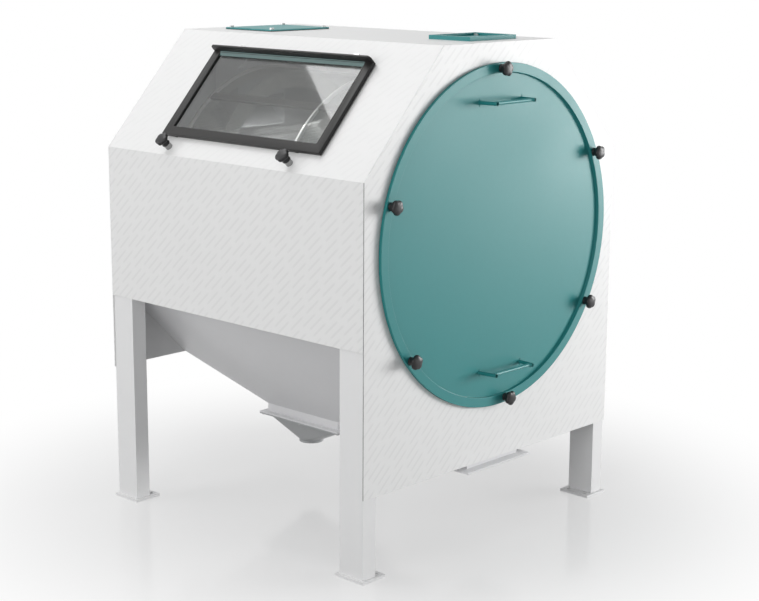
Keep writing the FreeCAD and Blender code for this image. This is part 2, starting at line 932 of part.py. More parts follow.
def revolved(profile):
    # A closed (radius, x) outline turned about the drum axis.
    points = [Vector(x, radius, 0) for radius, x in profile]
    solid = Part.Face(Part.makePolygon(points + points[:1])).revolve(Vector(0, 0, 0), x_axis, 360)
    solid.translate(Vector(0, 0, axis_height))
    return solid


door_floor = door_face - door_recess


def door_disc():
    # A dished sheet: recessed floor, sloping step, flat rim and turned-in edge.
    rim_inner = door_opening_radius - rim_lap
    edge = half_length + door_gap
    inner = door_radius - door_sheet
    rim_back = door_face - door_sheet
    back = door_floor - door_sheet
    step_shift = door_sheet / 2
    outline = [(0, door_floor), (rim_inner - door_step, door_floor), (rim_inner, door_face)]
    outline += [(door_radius, door_face), (door_radius, edge), (inner, edge), (inner, rim_back)]
    outline += [(rim_inner + step_shift, rim_back), (rim_inner - door_step + step_shift, back), (0, back)]
    x = (back - cut_past, door_face + cut_past)
    return cut_by(revolved(outline), [rod_x(stud_radius + stud_gap, *x, y, z) for y, z in knob_places()])


def door_gasket():
    outer = door_radius - door_sheet - seat_gap
    return ring_x(outer, outer - gasket_width, half_length, door_face - door_sheet)


def bent_rod(points, bend_radius, radius):
    # Straight round bars joined by turned bends of one radius.
    solids = []
    start = points[0]
    for before, corner, after in zip(points, points[1:], points[2:]):
        incoming = (corner - before).normalize()
        outgoing = (after - corner).normalize()
        bend = incoming.getAngle(outgoing)
        reach = bend_radius * math.tan(bend / 2)
        first = corner - incoming * reach
        solids.append(Part.makeCylinder(radius, (first - start).Length, start, incoming))
        middle = corner + (outgoing - incoming).normalize() * (bend_radius / math.cos(bend / 2))
        section = Part.Face(Part.Wire(Part.makeCircle(radius, first, incoming)))
        solids.append(section.revolve(middle, incoming.cross(outgoing), math.degrees(bend)))
        start = corner + outgoing * reach
    solids.append(Part.makeCylinder(radius, (points[-1] - start).Length, start, outgoing))
    return solids


def bow_handle(side, shift):
    base = door_floor + lozenge_sheet
    top = door_floor + handle_height - handle_rod_radius
    corners = [(base, -handle_base / 2), (top, -handle_span / 2)]
    corners += [(top, handle_span / 2), (base, handle_base / 2)]
    solids = bent_rod([Vector(x, y, 0) for x, y in corners], handle_bend, handle_rod_radius)
    for y in (-handle_base / 2, handle_base / 2):
        outline = [(y - lozenge_long / 2, 0), (y, -lozenge_short / 2)]
        outline += [(y + lozenge_long / 2, 0), (y, lozenge_short / 2)]
        solids.append(prism_x(outline, door_floor, base))
    handle = fused(solids)
    handle.translate(Vector(0, shift, axis_height + side * handle_lift))
    return handle


def star_ring(scale, z):
    # Four corners a lobe: two at its tip and two in the hollow beside it.
    corners = [(-lobe_share, 1), (lobe_share, 1)]
    corners += [((1 - lobe_share) / 2, hollow), ((1 + lobe_share) / 2, hollow)]
    ring = []
    for index in range(knob_lobes):
        for offset, share in corners:
            turn = 2 * math.pi * (index + offset) / knob_lobes
            reach = knob_radius * share * scale
            ring.append(Vector(reach * math.cos(turn), reach * math.sin(turn), z))
    return ring


def star_knob(stud_length):
    # The seat of the neck is at z 0, the head above it and the stud below.
    high = knob_neck + knob_head
    levels = [(knob_waist, 0), (knob_waist, knob_neck), (1, knob_neck + knob_crown)]
    levels += [(1, high - knob_crown), (knob_top, high)]
    rings = [star_ring(scale, z) for scale, z in levels]
    loops = [rings[0], rings[-1]]
    for first, last in zip(rings, rings[1:]):
        loops += side_loops(first, last)
    return fused([faceted(loops), rod_z(stud_radius, -stud_length, cut_past)])


def door_knobs():
    knob = star_knob(door_stand + panel_sheet + stud_reach)
    return [pointing(knob, (door_face, y, z), x_axis) for y, z in knob_places()]


frame_low = seal_thickness
frame_high = seal_thickness + frame_thickness
hinge_s = window_top + hinge_offset


def window_rebate(margin, low, high):
    # The room for the pane behind the frame borders.
    side = glass_rebate - margin
    x = (window_left + window_border - side, window_right - window_border + side)
    s = (window_rise + window_border - side, window_top - top_border + top_rebate - margin)
    return box(x, s, (low, high))


def hinge_knuckle(x, bore):
    barrel = Part.makeCylinder(knuckle_radius, x[1] - x[0], Vector(x[0], hinge_s, hinge_height), x_axis)
    start = Vector(x[0] - cut_past, hinge_s, hinge_height)
    return barrel, Part.makeCylinder(bore, x[1] - x[0] + 2 * cut_past, start, x_axis)


def standing_lip():
    # A strip that stands off the border, with its two top corners rounded.
    top = frame_low + lip_height
    s = (window_top - lip_sheet, window_top)
    lip = box((window_left, window_right), s, (frame_high - cut_past, top))
    corners = [Vector(x, window_top - lip_sheet / 2, top) for x in (window_left, window_right)]
    ends = [edge for edge in lip.Edges if min((edge.CenterOfMass - at).Length for at in corners) < fit_gap]
    return lip.makeFillet(lip_corner, ends)


def window_catch(x):
    low = -panel_sheet - tongue_drop - tongue_sheet - fit_gap
    s = catch_span()
    half = catch_width / 2
    catch = box((x - half, x + half), s, (low - catch_foot, frame_low + cut_past))
    notch_x = (x - half - cut_past, x + half - catch_foot)
    notch_s = (s[0] - cut_past, s[1] + cut_past)
    return catch.cut(box(notch_x, notch_s, (low, low + tongue_sheet + 2 * fit_gap)))


def window_frame():
    x = (window_left, window_right)
    frame = box(x, (window_rise, window_top), (frame_low, frame_high))
    frame = frame.cut(window_opening(0, frame_low - cut_past, frame_high + cut_past))
    frame = frame.cut(window_rebate(0, frame_low - cut_past, frame_low + glass_thickness + 2 * pane_gap))
    solids = [frame, standing_lip()]
    holes = []
    web_z = (hinge_height - knuckle_web / 2, hinge_height + knuckle_web / 2)
    for centre in hinge_centres():
        for side in (-1, 1):
            start = centre + side * knuckle_length
            span = (start - knuckle_length / 2, start + knuckle_length / 2)
            barrel, hole = hinge_knuckle(span, hinge_pin_radius + running_gap / 2)
            web = box(span, (window_top - cut_past, hinge_s), web_z)
            solids += [barrel, web]
            holes.append(hole)
    for x, _ in latch_places():
        solids.append(window_catch(x))
    return on_slope(cut_by(fused(solids), holes))


def window_glass():
    return on_slope(window_rebate(pane_gap, frame_low + pane_gap, frame_low + pane_gap + glass_thickness))


def window_seal():
    x = (window_left + seal_inset, window_right - seal_inset)
    s = (window_rise + seal_inset, window_top - seal_top_inset)
    ring = box(x, s, (0, seal_thickness))
    return on_slope(ring.cut(window_opening(sight_gap, -cut_past, seal_thickness + cut_past)))


def hinge_pins():
    pins = []
    reach = 1.5 * knuckle_length
    for centre in hinge_centres():
        start = Vector(centre - reach, hinge_s, hinge_height)
        pins.append(on_slope(Part.makeCylinder(hinge_pin_radius, 2 * reach, start, x_axis)))
    return pins


def hinge_brackets():
    brackets = []
    half = knuckle_length / 2 - seat_gap
    for centre in hinge_centres():
        x = (centre - half, centre + half)
        barrel, hole = hinge_knuckle(x, hinge_pin_radius + running_gap)
        web = box(x, (hinge_s, hinge_s + knuckle_radius), (0, hinge_height))
        base = box(x, (hinge_s, hinge_s + bracket_length), (0, bracket_sheet))
        brackets.append(on_slope(fused([barrel, web, base]).cut(hole)))
    return brackets


def latch_collars():
    collars = []
    for x, s in latch_places():
        collar = rod_z(collar_radius, 0, collar_height, x, s)
        bore = rod_z(latch_shaft_radius + running_gap, -cut_past, collar_height + cut_past, x, s)
        collars.append(on_slope(collar.cut(bore)))
    return collars


def window_latch(x, s):
    low = -panel_sheet - tongue_drop - tongue_sheet
    knob = star_knob(collar_height + seat_gap - low)
    knob.translate(Vector(0, 0, collar_height + seat_gap))
    tongue = box((-tongue_reach, 0), (-tongue_width / 2, tongue_width / 2), (low, low + tongue_sheet))
    root = rod_z(tongue_width, low, low + tongue_sheet)
    latch = fused([knob, tongue, root])
    latch.translate(Vector(x, s, 0))
    return on_slope(latch)


os.makedirs("parts", exist_ok=True)

save("front_panel", front_panel())
save("rear_panel", rear_panel())
save("top_panel", top_panel())
save("left_end_panel", left_end_panel())
save("right_end_panel", right_end_panel())
for depth_name, side_y in (("front", -1), ("rear", 1)):
    for side_name, side_x in (("left", -1), ("right", 1)):
        save("leg_" + depth_name + "_" + side_name, leg(side_x, side_y))
save("foot_plates", *[foot_plate(i, j) for i in (-1, 1) for j in (-1, 1)])
save("long_rails", *long_rails())
save("bearing_beams", *bearing_beams())
save("dividing_wall", dividing_wall())
save("fines_hopper", fines_hopper())
save("outlet_transition", outlet_transition())
save("outlet_screws", *outlet_screws())
save("coarse_chute", coarse_chute())
save("inlet_chute", inlet_chute())
save("inlet_gasket", inlet_gasket())
save("inlet_cover", inlet_cover())
save("aspiration_collar", aspiration_collar())
save("aspiration_cover", aspiration_cover())
roof_bolts = cover_bolts(inlet_places, inlet_cover_top)
roof_bolts += cover_bolts(aspiration_places, housing_height + cover_sheet)
save("cover_bolts", *roof_bolts)
save("bearing_plate", bearing_plate())
save("bearing_housing", bearing_housing())
save("bearing_bolts", *bearing_bolts())
save("gearbox", gearbox())
save("motor", motor())
save("fan_cowl", fan_cowl())
save("terminal_box", terminal_box())
save("torque_arm", torque_arm())
save("door_inserts", *door_inserts())
save("hinge_brackets", *hinge_brackets())
save("latch_collars", *latch_collars())
save("drum_shaft", drum_shaft())
save("inlet_spider", spider(inlet_ring_x))
save("middle_spider", spider(middle_ring_x))
save("outlet_ring", outlet_ring())
save("drum_bars", *drum_bars())
long_section, short_section = sections()
save("long_jackets", *jackets(long_section))
save("short_jackets", *jackets(short_section))
save("long_spiral", spiral(long_section))
save("short_spiral", spiral(short_section))
save("door_disc", door_disc())
save("door_gasket", door_gasket())
save("door_handles", bow_handle(1, upper_handle_shift), bow_handle(-1, lower_handle_shift))
for number, knob in enumerate(door_knobs(), 1):
    save("door_knob_" + str(number), knob)
save("window_frame", window_frame())
save("window_glass", window_glass())
save("window_seal", window_seal())
save("hinge_pins", *hinge_pins())
for side_name, place in zip(("left", "right"), latch_places()):
    save("window_latch_" + side_name, window_latch(*place))
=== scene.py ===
import bpy
import bmesh
import json
import math
from mathutils import Matrix, Vector


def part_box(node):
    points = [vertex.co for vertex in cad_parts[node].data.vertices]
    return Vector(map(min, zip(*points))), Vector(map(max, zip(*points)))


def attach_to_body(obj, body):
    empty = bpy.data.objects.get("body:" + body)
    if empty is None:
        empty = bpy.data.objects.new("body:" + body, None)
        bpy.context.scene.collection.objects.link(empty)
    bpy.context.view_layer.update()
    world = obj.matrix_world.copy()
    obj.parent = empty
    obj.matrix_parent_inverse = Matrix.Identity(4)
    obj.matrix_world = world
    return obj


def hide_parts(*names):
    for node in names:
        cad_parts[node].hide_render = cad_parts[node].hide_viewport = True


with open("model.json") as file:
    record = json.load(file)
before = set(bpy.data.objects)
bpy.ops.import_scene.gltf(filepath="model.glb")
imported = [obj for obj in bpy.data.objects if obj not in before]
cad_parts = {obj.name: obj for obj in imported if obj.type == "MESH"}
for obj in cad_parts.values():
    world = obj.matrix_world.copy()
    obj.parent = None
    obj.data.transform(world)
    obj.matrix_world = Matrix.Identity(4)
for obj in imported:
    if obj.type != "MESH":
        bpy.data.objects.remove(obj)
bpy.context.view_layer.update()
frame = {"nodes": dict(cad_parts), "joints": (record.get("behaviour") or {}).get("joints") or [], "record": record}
nodes = frame["nodes"]
joints = {joint["name"]: joint for joint in frame["joints"]}
print("frame loaded:", len(nodes), "nodes")


# Camera at the photograph's place
cameraValues = {
    "place": (3.5762, -3.6883, 1.7526),
    "turn": 0.7591,
    "tilt": 0.2141,
    "roll": 0.0053,
    "focal": 1673.83,
    "imageWidth": 759,
    "sensorWidth": 36.0,
    "near": 0.05,
    "far": 200,
}


def makeCamera(values):
    turn, tilt, roll = values["turn"], values["tilt"], values["roll"]
    ahead = Vector((-math.sin(turn) * math.cos(tilt), math.cos(turn) * math.cos(tilt), -math.sin(tilt)))
    side = Vector((math.cos(turn), math.sin(turn), 0))
    upward = side.cross(ahead)
    rolledSide = side * math.cos(roll) + upward * math.sin(roll)
    rolledUp = upward * math.cos(roll) - side * math.sin(roll)
    data = bpy.data.cameras.new("photoCamera")
    data.sensor_width = values["sensorWidth"]
    data.lens = values["focal"] / values["imageWidth"] * values["sensorWidth"]
    data.clip_start = values["near"]
    data.clip_end = values["far"]
    camera = bpy.data.objects.new("photoCamera", data)
    turned = Matrix((rolledSide, rolledUp, -ahead)).transposed()
    camera.matrix_world = Matrix.Translation(values["place"]) @ turned.to_4x4()
    bpy.context.scene.collection.objects.link(camera)
    bpy.context.scene.camera = camera


makeCamera(cameraValues)
print("camera placed")


# Shader building blocks
def newGroup(name, inputs, outputs):
    group = bpy.data.node_groups.new(name, "ShaderNodeTree")
    for label, kind, value in inputs:
        socket = group.interface.new_socket(name=label, in_out="INPUT", socket_type=kind)
        if value is not None:
            socket.default_value = value
    for label in outputs:
        group.interface.new_socket(name=label, in_out="OUTPUT", socket_type="NodeSocketFloat")
    start = group.nodes.new("NodeGroupInput")
    end = group.nodes.new("NodeGroupOutput")
    return group, start, end


def mathNode(tree, operation, *values):
    node = tree.nodes.new("ShaderNodeMath")
    node.operation = operation
    for socket, value in zip(node.inputs, values):
        if isinstance(value, (int, float)):
            socket.default_value = value
        else:
            tree.links.new(value, socket)
    return node.outputs[0]


def calculator(tree):
    # Short calls for the math nodes of one tree
    def calc(operation, *values):
        return mathNode(tree, operation, *values)

    return calc


def noiseNode(tree, vector, scale, detail):
    node = tree.nodes.new("ShaderNodeTexNoise")
    node.inputs["Detail"].default_value = detail
    node.inputs["Scale"].default_value = scale
    tree.links.new(vector, node.inputs["Vector"])
    return node.outputs["Fac"]


def rangeNode(tree, value, source, target, blend="LINEAR"):
    node = tree.nodes.new("ShaderNodeMapRange")
    tree.links.new(value, node.inputs["Value"])
    for label, number in zip(("From Min", "From Max", "To Min", "To Max"), (*source, *target)):
        node.inputs[label].default_value = number
    node.interpolation_type = blend
    return node.outputs["Result"]


coatValues = {
    "broadScale": 2.2,
    "broadDetail": 3.0,
    "broadShare": 0.7,
    "fineScale": 60.0,
    "fineDetail": 4.0,
    "fineShare": 0.3,
    "peelScale": 420.0,
    "peelDetail": 1.0,
}
hatchValues = {
    "pitch": 0.021,
    "lean": (0.74, 0.67),
    "lineFade": (0.1, 0.2),
    "dash": 0.085,
    "dashStart": (0.0, 0.12),
    "dashEnd": (0.72, 0.86),
    "rowTurn": 12.9,
    "rowShift": 43.7,
}
brushValues = {"lineDetail": 3.0, "patchScale": 9.0, "patchDetail": 4.0, "stretch": (8.0, 300.0, 300.0)}
holeValues = {
    "axisHeight": 0.908,
    "radius": 0.43,
    "pitch": 0.006,
    "rowSpread": 1.732,
    "sheetFade": (0.42, 0.45),
    "rimFade": (0.45, 0.50),
}


def makeCoatGroup(values):
    # Powder coat: broad tone drift and the fine orange peel of the cured film
    inputs = [("Vector", "NodeSocketVector", None)]
    group, start, end = newGroup("powderCoat", inputs, ["Tone", "Peel"])
    vector = start.outputs["Vector"]
    calc = calculator(group)
    broad = noiseNode(group, vector, values["broadScale"], values["broadDetail"])
    fine = noiseNode(group, vector, values["fineScale"], values["fineDetail"])
    tone = calc("MULTIPLY_ADD", fine, values["fineShare"], calc("MULTIPLY", broad, values["broadShare"]))
    group.links.new(tone, end.inputs["Tone"])
    group.links.new(noiseNode(group, vector, values["peelScale"], values["peelDetail"]), end.inputs["Peel"])
    return group


def makeHatchGroup(values):
    # Faint broken diagonal lines rolled into the sheet, on coordinates across and up a face
    inputs = [("Across", "NodeSocketFloat", None), ("Up", "NodeSocketFloat", None)]
    group, start, end = newGroup("rolledHatch", inputs, ["Mask"])
    calc = calculator(group)
    across, up = start.outputs["Across"], start.outputs["Up"]
    sideways, rising = values["lean"]
    along = calc("ADD", calc("MULTIPLY", across, sideways), calc("MULTIPLY", up, rising))
    over = calc("SUBTRACT", calc("MULTIPLY", across, rising), calc("MULTIPLY", up, sideways))
    row = calc("DIVIDE", over, values["pitch"])
    inRow = calc("ABSOLUTE", calc("SUBTRACT", calc("FRACT", row), 0.5))
    line = rangeNode(group, inRow, values["lineFade"], (1.0, 0.0))
    wave = calc("SINE", calc("MULTIPLY", calc("FLOOR", row), values["rowTurn"]))
    shift = calc("FRACT", calc("MULTIPLY", wave, values["rowShift"]))
    dash = calc("FRACT", calc("ADD", calc("DIVIDE", along, values["dash"]), shift))
    starting = rangeNode(group, dash, values["dashStart"], (0.0, 1.0))
    ending = rangeNode(group, dash, values["dashEnd"], (1.0, 0.0))
    group.links.new(calc("MULTIPLY", line, calc("MULTIPLY", starting, ending)), end.inputs["Mask"])
    return group


def makeBrushGroup(values):
    # Drawn or ground metal: long scratches along one direction and cloudy patches
    inputs = [("Vector", "NodeSocketVector", None), ("Stretch", "NodeSocketVector", values["stretch"])]
    group, start, end = newGroup("groundMetal", inputs, ["Lines", "Patch"])
    scaled = group.nodes.new("ShaderNodeVectorMath")
    scaled.operation = "MULTIPLY"
    group.links.new(start.outputs["Vector"], scaled.inputs[0])
    group.links.new(start.outputs["Stretch"], scaled.inputs[1])
    lines = noiseNode(group, scaled.outputs[0], 1.0, values["lineDetail"])
    patch = noiseNode(group, start.outputs["Vector"], values["patchScale"], values["patchDetail"])
    group.links.new(lines, end.inputs["Lines"])
    group.links.new(patch, end.inputs["Patch"])
    return group


def makeHoleGroup(values):
    # Staggered round holes of a perforated sheet rolled about the drum axis
    group, start, end = newGroup("rolledHoles", [("Vector", "NodeSocketVector", None)], ["Sheet", "Rim"])
    calc = calculator(group)
    parts = group.nodes.new("ShaderNodeSeparateXYZ")
    group.links.new(start.outputs["Vector"], parts.inputs[0])
    height = calc("SUBTRACT", parts.outputs["Z"], values["axisHeight"])
    turn = calc("MULTIPLY", calc("ARCTAN2", height, parts.outputs["Y"]), values["radius"])
    distances = []
    for shift in (0.0, 0.5):
        u = calc("ADD", calc("DIVIDE", turn, values["pitch"] * values["rowSpread"]), shift)
        v = calc("ADD", calc("DIVIDE", parts.outputs["X"], values["pitch"]), shift)
        du = calc("MULTIPLY", calc("SUBTRACT", calc("FRACT", u), 0.5), values["rowSpread"])
        dv = calc("SUBTRACT", calc("FRACT", v), 0.5)
        distances.append(calc("SQRT", calc("ADD", calc("MULTIPLY", du, du), calc("MULTIPLY", dv, dv))))
    nearest = calc("MINIMUM", *distances)
    group.links.new(rangeNode(group, nearest, values["sheetFade"], (0.0, 1.0)), end.inputs["Sheet"])
    group.links.new(rangeNode(group, nearest, values["rimFade"], (1.0, 0.0)), end.inputs["Rim"])
    return group


coatGroup = makeCoatGroup(coatValues)
hatchGroup = makeHatchGroup(hatchValues)
brushGroup = makeBrushGroup(brushValues)
holeGroup = makeHoleGroup(holeValues)


def startMaterial(name, values):
    material = bpy.data.materials.new(name)
    material.use_nodes = True
    tree = material.node_tree
    shader = tree.nodes["Principled BSDF"]
    shader.inputs["Base Color"].default_value = (*values["color"], 1)
    shader.inputs["Roughness"].default_value = values["roughness"]
    shader.inputs["Metallic"].default_value = values.get("metallic", 0.0)
    shader.inputs["Specular IOR Level"].default_value = values.get("specular", 0.5)
    coordinates = tree.nodes.new("ShaderNodeTexCoord").outputs["Object"]
    return material, tree, shader, coordinates


def placeGroup(tree, group, links):
    node = tree.nodes.new("ShaderNodeGroup")
    node.node_tree = group
    for label, value in links.items():
        if isinstance(value, tuple):
            node.inputs[label].default_value = value
        else:
            tree.links.new(value, node.inputs[label])
    return node


def blendColors(tree, factor, first, second):
    # First colour where the factor is 0, second where it is 1; the first may be a socket
    mix = tree.nodes.new("ShaderNodeMix")
    mix.data_type = "RGBA"
    mix.inputs["B"].default_value = (*second, 1)
    tree.links.new(factor, mix.inputs["Factor"])
    if isinstance(first, tuple):
        mix.inputs["A"].default_value = (*first, 1)
    else:
        tree.links.new(first, mix.inputs["A"])
    return mix.outputs["Result"]


def shadeColor(tree, shader, color, mask, darker, lit=None):
    # Base colour that falls by a share where the mask is 1; lit stands in for its light end
    dark = [part * (1 - darker) for part in color]
    light = color if lit is None else lit
    tree.links.new(blendColors(tree, mask, light, dark), shader.inputs["Base Color"])


def spreadRoughness(tree, shader, mask, roughness, spread):
    # Roughness that drifts about its value where the noise leaves its middle
    target = (roughness + spread[0], roughness + spread[1])
    tree.links.new(rangeNode(tree, mask, (0.3, 0.7), target), shader.inputs["Roughness"])


def softEdges(tree, shader, radius, height, distance):
    # Rounded look of folded or cast edges, with the surface relief on top
    edge = tree.nodes.new("ShaderNodeBevel")
    edge.samples = 4
    edge.inputs["Radius"].default_value = radius
    bump = tree.nodes.new("ShaderNodeBump")
    bump.inputs["Distance"].default_value = distance
    bump.inputs["Strength"].default_value = 1.0
    tree.links.new(height, bump.inputs["Height"])
    tree.links.new(edge.outputs["Normal"], bump.inputs["Normal"])
    tree.links.new(bump.outputs["Normal"], shader.inputs["Normal"])


def facingMask(tree, coordinates, spread, offset, fade):
    # 1 where a face looks away from the middle of the spread and offset coordinates
    spoke = tree.nodes.new("ShaderNodeVectorMath")
    spoke.operation = "MULTIPLY_ADD"
    spoke.inputs[1].default_value = spread
    spoke.inputs[2].default_value = offset
    tree.links.new(coordinates, spoke.inputs[0])
    unit = tree.nodes.new("ShaderNodeVectorMath")
    unit.operation = "NORMALIZE"
    tree.links.new(spoke.outputs[0], unit.inputs[0])
    facing = tree.nodes.new("ShaderNodeVectorMath")
    facing.operation = "DOT_PRODUCT"
    tree.links.new(unit.outputs[0], facing.inputs[0])
    tree.links.new(tree.nodes.new("ShaderNodeTexCoord").outputs["Normal"], facing.inputs[1])
    return rangeNode(tree, facing.outputs["Value"], fade, (0.0, 1.0))


def hatchMask(tree, coordinates, values):
    # The hatch on outward faces and the edge band, fainter on the slopes, and the mask of those faces; away from
    # it the inner faces take a painted shade
    calc = calculator(tree)
    parts = tree.nodes.new("ShaderNodeSeparateXYZ")
    tree.links.new(coordinates, parts.inputs[0])
    hatch = placeGroup(tree, hatchGroup, {"Across": parts.outputs[values["hatch"]], "Up": parts.outputs["Z"]})
    looksOut = facingMask(tree, coordinates, (1, 1, 0), (0, 0, 0), (-0.1, 0.1))
    atEdge = rangeNode(tree, calc("ABSOLUTE", parts.outputs["Y"]), values["edgeBand"], (0.0, 1.0))
    outside = calc("MAXIMUM", looksOut, atEdge)
    lines = calc("MULTIPLY", hatch.outputs["Mask"], outside)
    if "slopeBand" in values:
        faint = rangeNode(tree, parts.outputs["Z"], values["slopeBand"], values["slopeFade"])
        lines = calc("MULTIPLY", lines, faint)
    return lines, outside


paintFinish = {"edge": 0.0012, "peelDepth": 0.00003, "roughSpread": (-0.04, 0.05)}
metalFinish = {"edge": 0.0006, "lineDepth": 0.00002, "roughSpread": (-0.06, 0.08), "drift": 0.15}
plasticFinish = {"edge": 0.0005, "toneScale": 40.0, "roughSpread": (-0.07, 0.07), "drift": 0.35}


def paintMaterial(name, values):
    material, tree, shader, coordinates = startMaterial(name, values)
    coat = placeGroup(tree, coatGroup, {"Vector": coordinates})
    mask = coat.outputs["Tone"]
    lit = None
    if "hatch" in values:
        lines, outside = hatchMask(tree, coordinates, values)
        tone = mathNode(tree, "MULTIPLY", mask, values["toneShare"])
        mask = mathNode(tree, "MULTIPLY_ADD", lines, values["hatchShare"], tone)
        # Inner faces off the edge band take the darker inside colour, a painted shade
        if "inside" in values:
            lit = blendColors(tree, outside, values["inside"], values["color"])
    shadeColor(tree, shader, values["color"], mask, values["drift"], lit)
    spreadRoughness(tree, shader, coat.outputs["Tone"], values["roughness"], paintFinish["roughSpread"])
    softEdges(tree, shader, paintFinish["edge"], coat.outputs["Peel"], paintFinish["peelDepth"])
    return material


def metalMaterial(name, values):
    material, tree, shader, coordinates = startMaterial(name, values)
    brush = placeGroup(tree, brushGroup, {"Vector": coordinates})
    shadeColor(tree, shader, values["color"], brush.outputs["Patch"], metalFinish["drift"])
    spreadRoughness(tree, shader, brush.outputs["Lines"], values["roughness"], metalFinish["roughSpread"])
    softEdges(tree, shader, metalFinish["edge"], brush.outputs["Lines"], metalFinish["lineDepth"])
    return material


def perforatedMaterial(name, values):
    # Sheet with round holes, light where it faces the drum axis as painted light and dark on its outer faces as
    # painted shade
    material, tree, shader, coordinates = startMaterial(name, values)
    holes = placeGroup(tree, holeGroup, {"Vector": coordinates})
    brush = placeGroup(tree, brushGroup, {"Vector": coordinates, "Stretch": values["stretch"]})
    patch = mathNode(tree, "MULTIPLY", brush.outputs["Patch"], values["patchShare"])
    mask = mathNode(tree, "MULTIPLY_ADD", holes.outputs["Rim"], values["rimShare"], patch)
    # Outer faces take the dark colour and inner faces the light inside colour: painted shade and painted light
    outside = facingMask(tree, coordinates, (0, 1, 1), (0, 0, -holeValues["axisHeight"]), (-0.3, 0.3))
    lit = blendColors(tree, outside, values["inside"], values["color"])
    shadeColor(tree, shader, values["color"], mask, values["drift"], lit)
    tree.links.new(holes.outputs["Sheet"], shader.inputs["Alpha"])
    softEdges(tree, shader, values["edge"], brush.outputs["Lines"], metalFinish["lineDepth"])
    return material


def plasticMaterial(name, values):
    material, tree, shader, coordinates = startMaterial(name, values)
    grain = noiseNode(tree, coordinates, values["grainScale"], 3.0)
    tone = noiseNode(tree, coordinates, plasticFinish["toneScale"], 2.0)
    shadeColor(tree, shader, values["color"], tone, plasticFinish["drift"])
    spreadRoughness(tree, shader, grain, values["roughness"], plasticFinish["roughSpread"])
    softEdges(tree, shader, plasticFinish["edge"], grain, values["grainDepth"])
    return material


def glassMaterial(name, values):
    # Clear pane that lets lamp light through to the drum
    material, tree, shader, coordinates = startMaterial(name, values)
    shader.inputs["Transmission Weight"].default_value = 1.0
    shader.inputs["IOR"].default_value = values["index"]
    smear = noiseNode(tree, coordinates, values["smearScale"], 3.0)
    rough = rangeNode(tree, smear, values["smearSpan"], values["smearRoughness"])
    tree.links.new(rough, shader.inputs["Roughness"])
    clear = tree.nodes.new("ShaderNodeBsdfTransparent")
    clear.inputs["Color"].default_value = (*values["clear"], 1)
    path = tree.nodes.new("ShaderNodeLightPath")
    through = mathNode(tree, "MAXIMUM", path.outputs["Is Shadow Ray"], path.outputs["Is Diffuse Ray"])
    mix = tree.nodes.new("ShaderNodeMixShader")
    tree.links.new(through, mix.inputs["Fac"])
    tree.links.new(shader.outputs[0], mix.inputs[1])
    tree.links.new(clear.outputs[0], mix.inputs[2])
    tree.links.new(mix.outputs[0], tree.nodes["Material Output"].inputs["Surface"])
    return material


# Finishes: one material per slot of the record, and skins of their own for some nodes
whitePaint = {"color": (0.80, 0.80, 0.795), "roughness": 0.42, "drift": 0.05}
hatchedPaint = {**whitePaint, "drift": 0.09, "toneShare": 0.5, "hatchShare": 0.7, "edgeBand": (0.515, 0.53)}
paintValues = {
    "white_powder": ("whitePowder", whitePaint),
    "leg_powder": ("legPowder", {"color": (0.79, 0.79, 0.79), "roughness": 0.45, "drift": 0.06}),
    "hopper_powder": ("hopperPowder", {"color": (0.74, 0.74, 0.75), "roughness": 0.42, "drift": 0.07}),
    "teal_powder": ("tealPowder", {"color": (0.020, 0.225, 0.226), "roughness": 0.40, "drift": 0.10,
                                   "specular": 0.40}),
    "dark_frame": ("darkFrame", {"color": (0.020, 0.0195, 0.019), "roughness": 0.40, "drift": 0.2,
                                 "specular": 0.28}),
    "drive_paint": ("drivePaint", {"color": (0.10, 0.125, 0.15), "roughness": 0.42, "drift": 0.15}),
}
metalValues = {
    "motor_metal": ("motorMetal", {"color": (0.42, 0.44, 0.46), "roughness": 0.5, "metallic": 0.6}),
    "bare_steel": ("bareSteel", {"color": (0.60, 0.60, 0.60), "roughness": 0.3, "metallic": 1.0}),
}
plasticValues = {
    "black_plastic": ("blackPlastic", {"color": (0.016, 0.016, 0.017), "roughness": 0.36, "specular": 0.36,
                                       "grainScale": 900.0, "grainDepth": 0.00003}),
    "gasket_rubber": ("gasketRubber", {"color": (0.03, 0.03, 0.03), "roughness": 0.7,
                                       "grainScale": 500.0, "grainDepth": 0.00005}),
}
# The dark colour and the light inside colour of the drum sheet are painted shade and painted light
jacketFinish = {
    "color": (0.12, 0.12, 0.115),
    "inside": (0.80, 0.79, 0.76),
    "roughness": 0.42,
    "metallic": 0.6,
    "stretch": (6.0, 90.0, 90.0),
    "patchShare": 0.4,
    "rimShare": 0.6,
    "drift": 0.5,
    "edge": 0.0004,
}
glassFinish = {
    "color": (0.93, 0.95, 0.95),
    "roughness": 0.0,
    "index": 1.5,
    "smearScale": 5.0,
    "smearSpan": (0.35, 0.75),
    "smearRoughness": (0.0, 0.035),
    "clear": (0.86, 0.88, 0.88),
}
materials = {slot: paintMaterial(*values) for slot, values in paintValues.items()}
materials.update({slot: metalMaterial(*values) for slot, values in metalValues.items()})
materials.update({slot: plasticMaterial(*values) for slot, values in plasticValues.items()})
materials["jacket_steel"] = perforatedMaterial("jacketSteel", jacketFinish)
materials["clear_glass"] = glassMaterial("clearGlass", glassFinish)

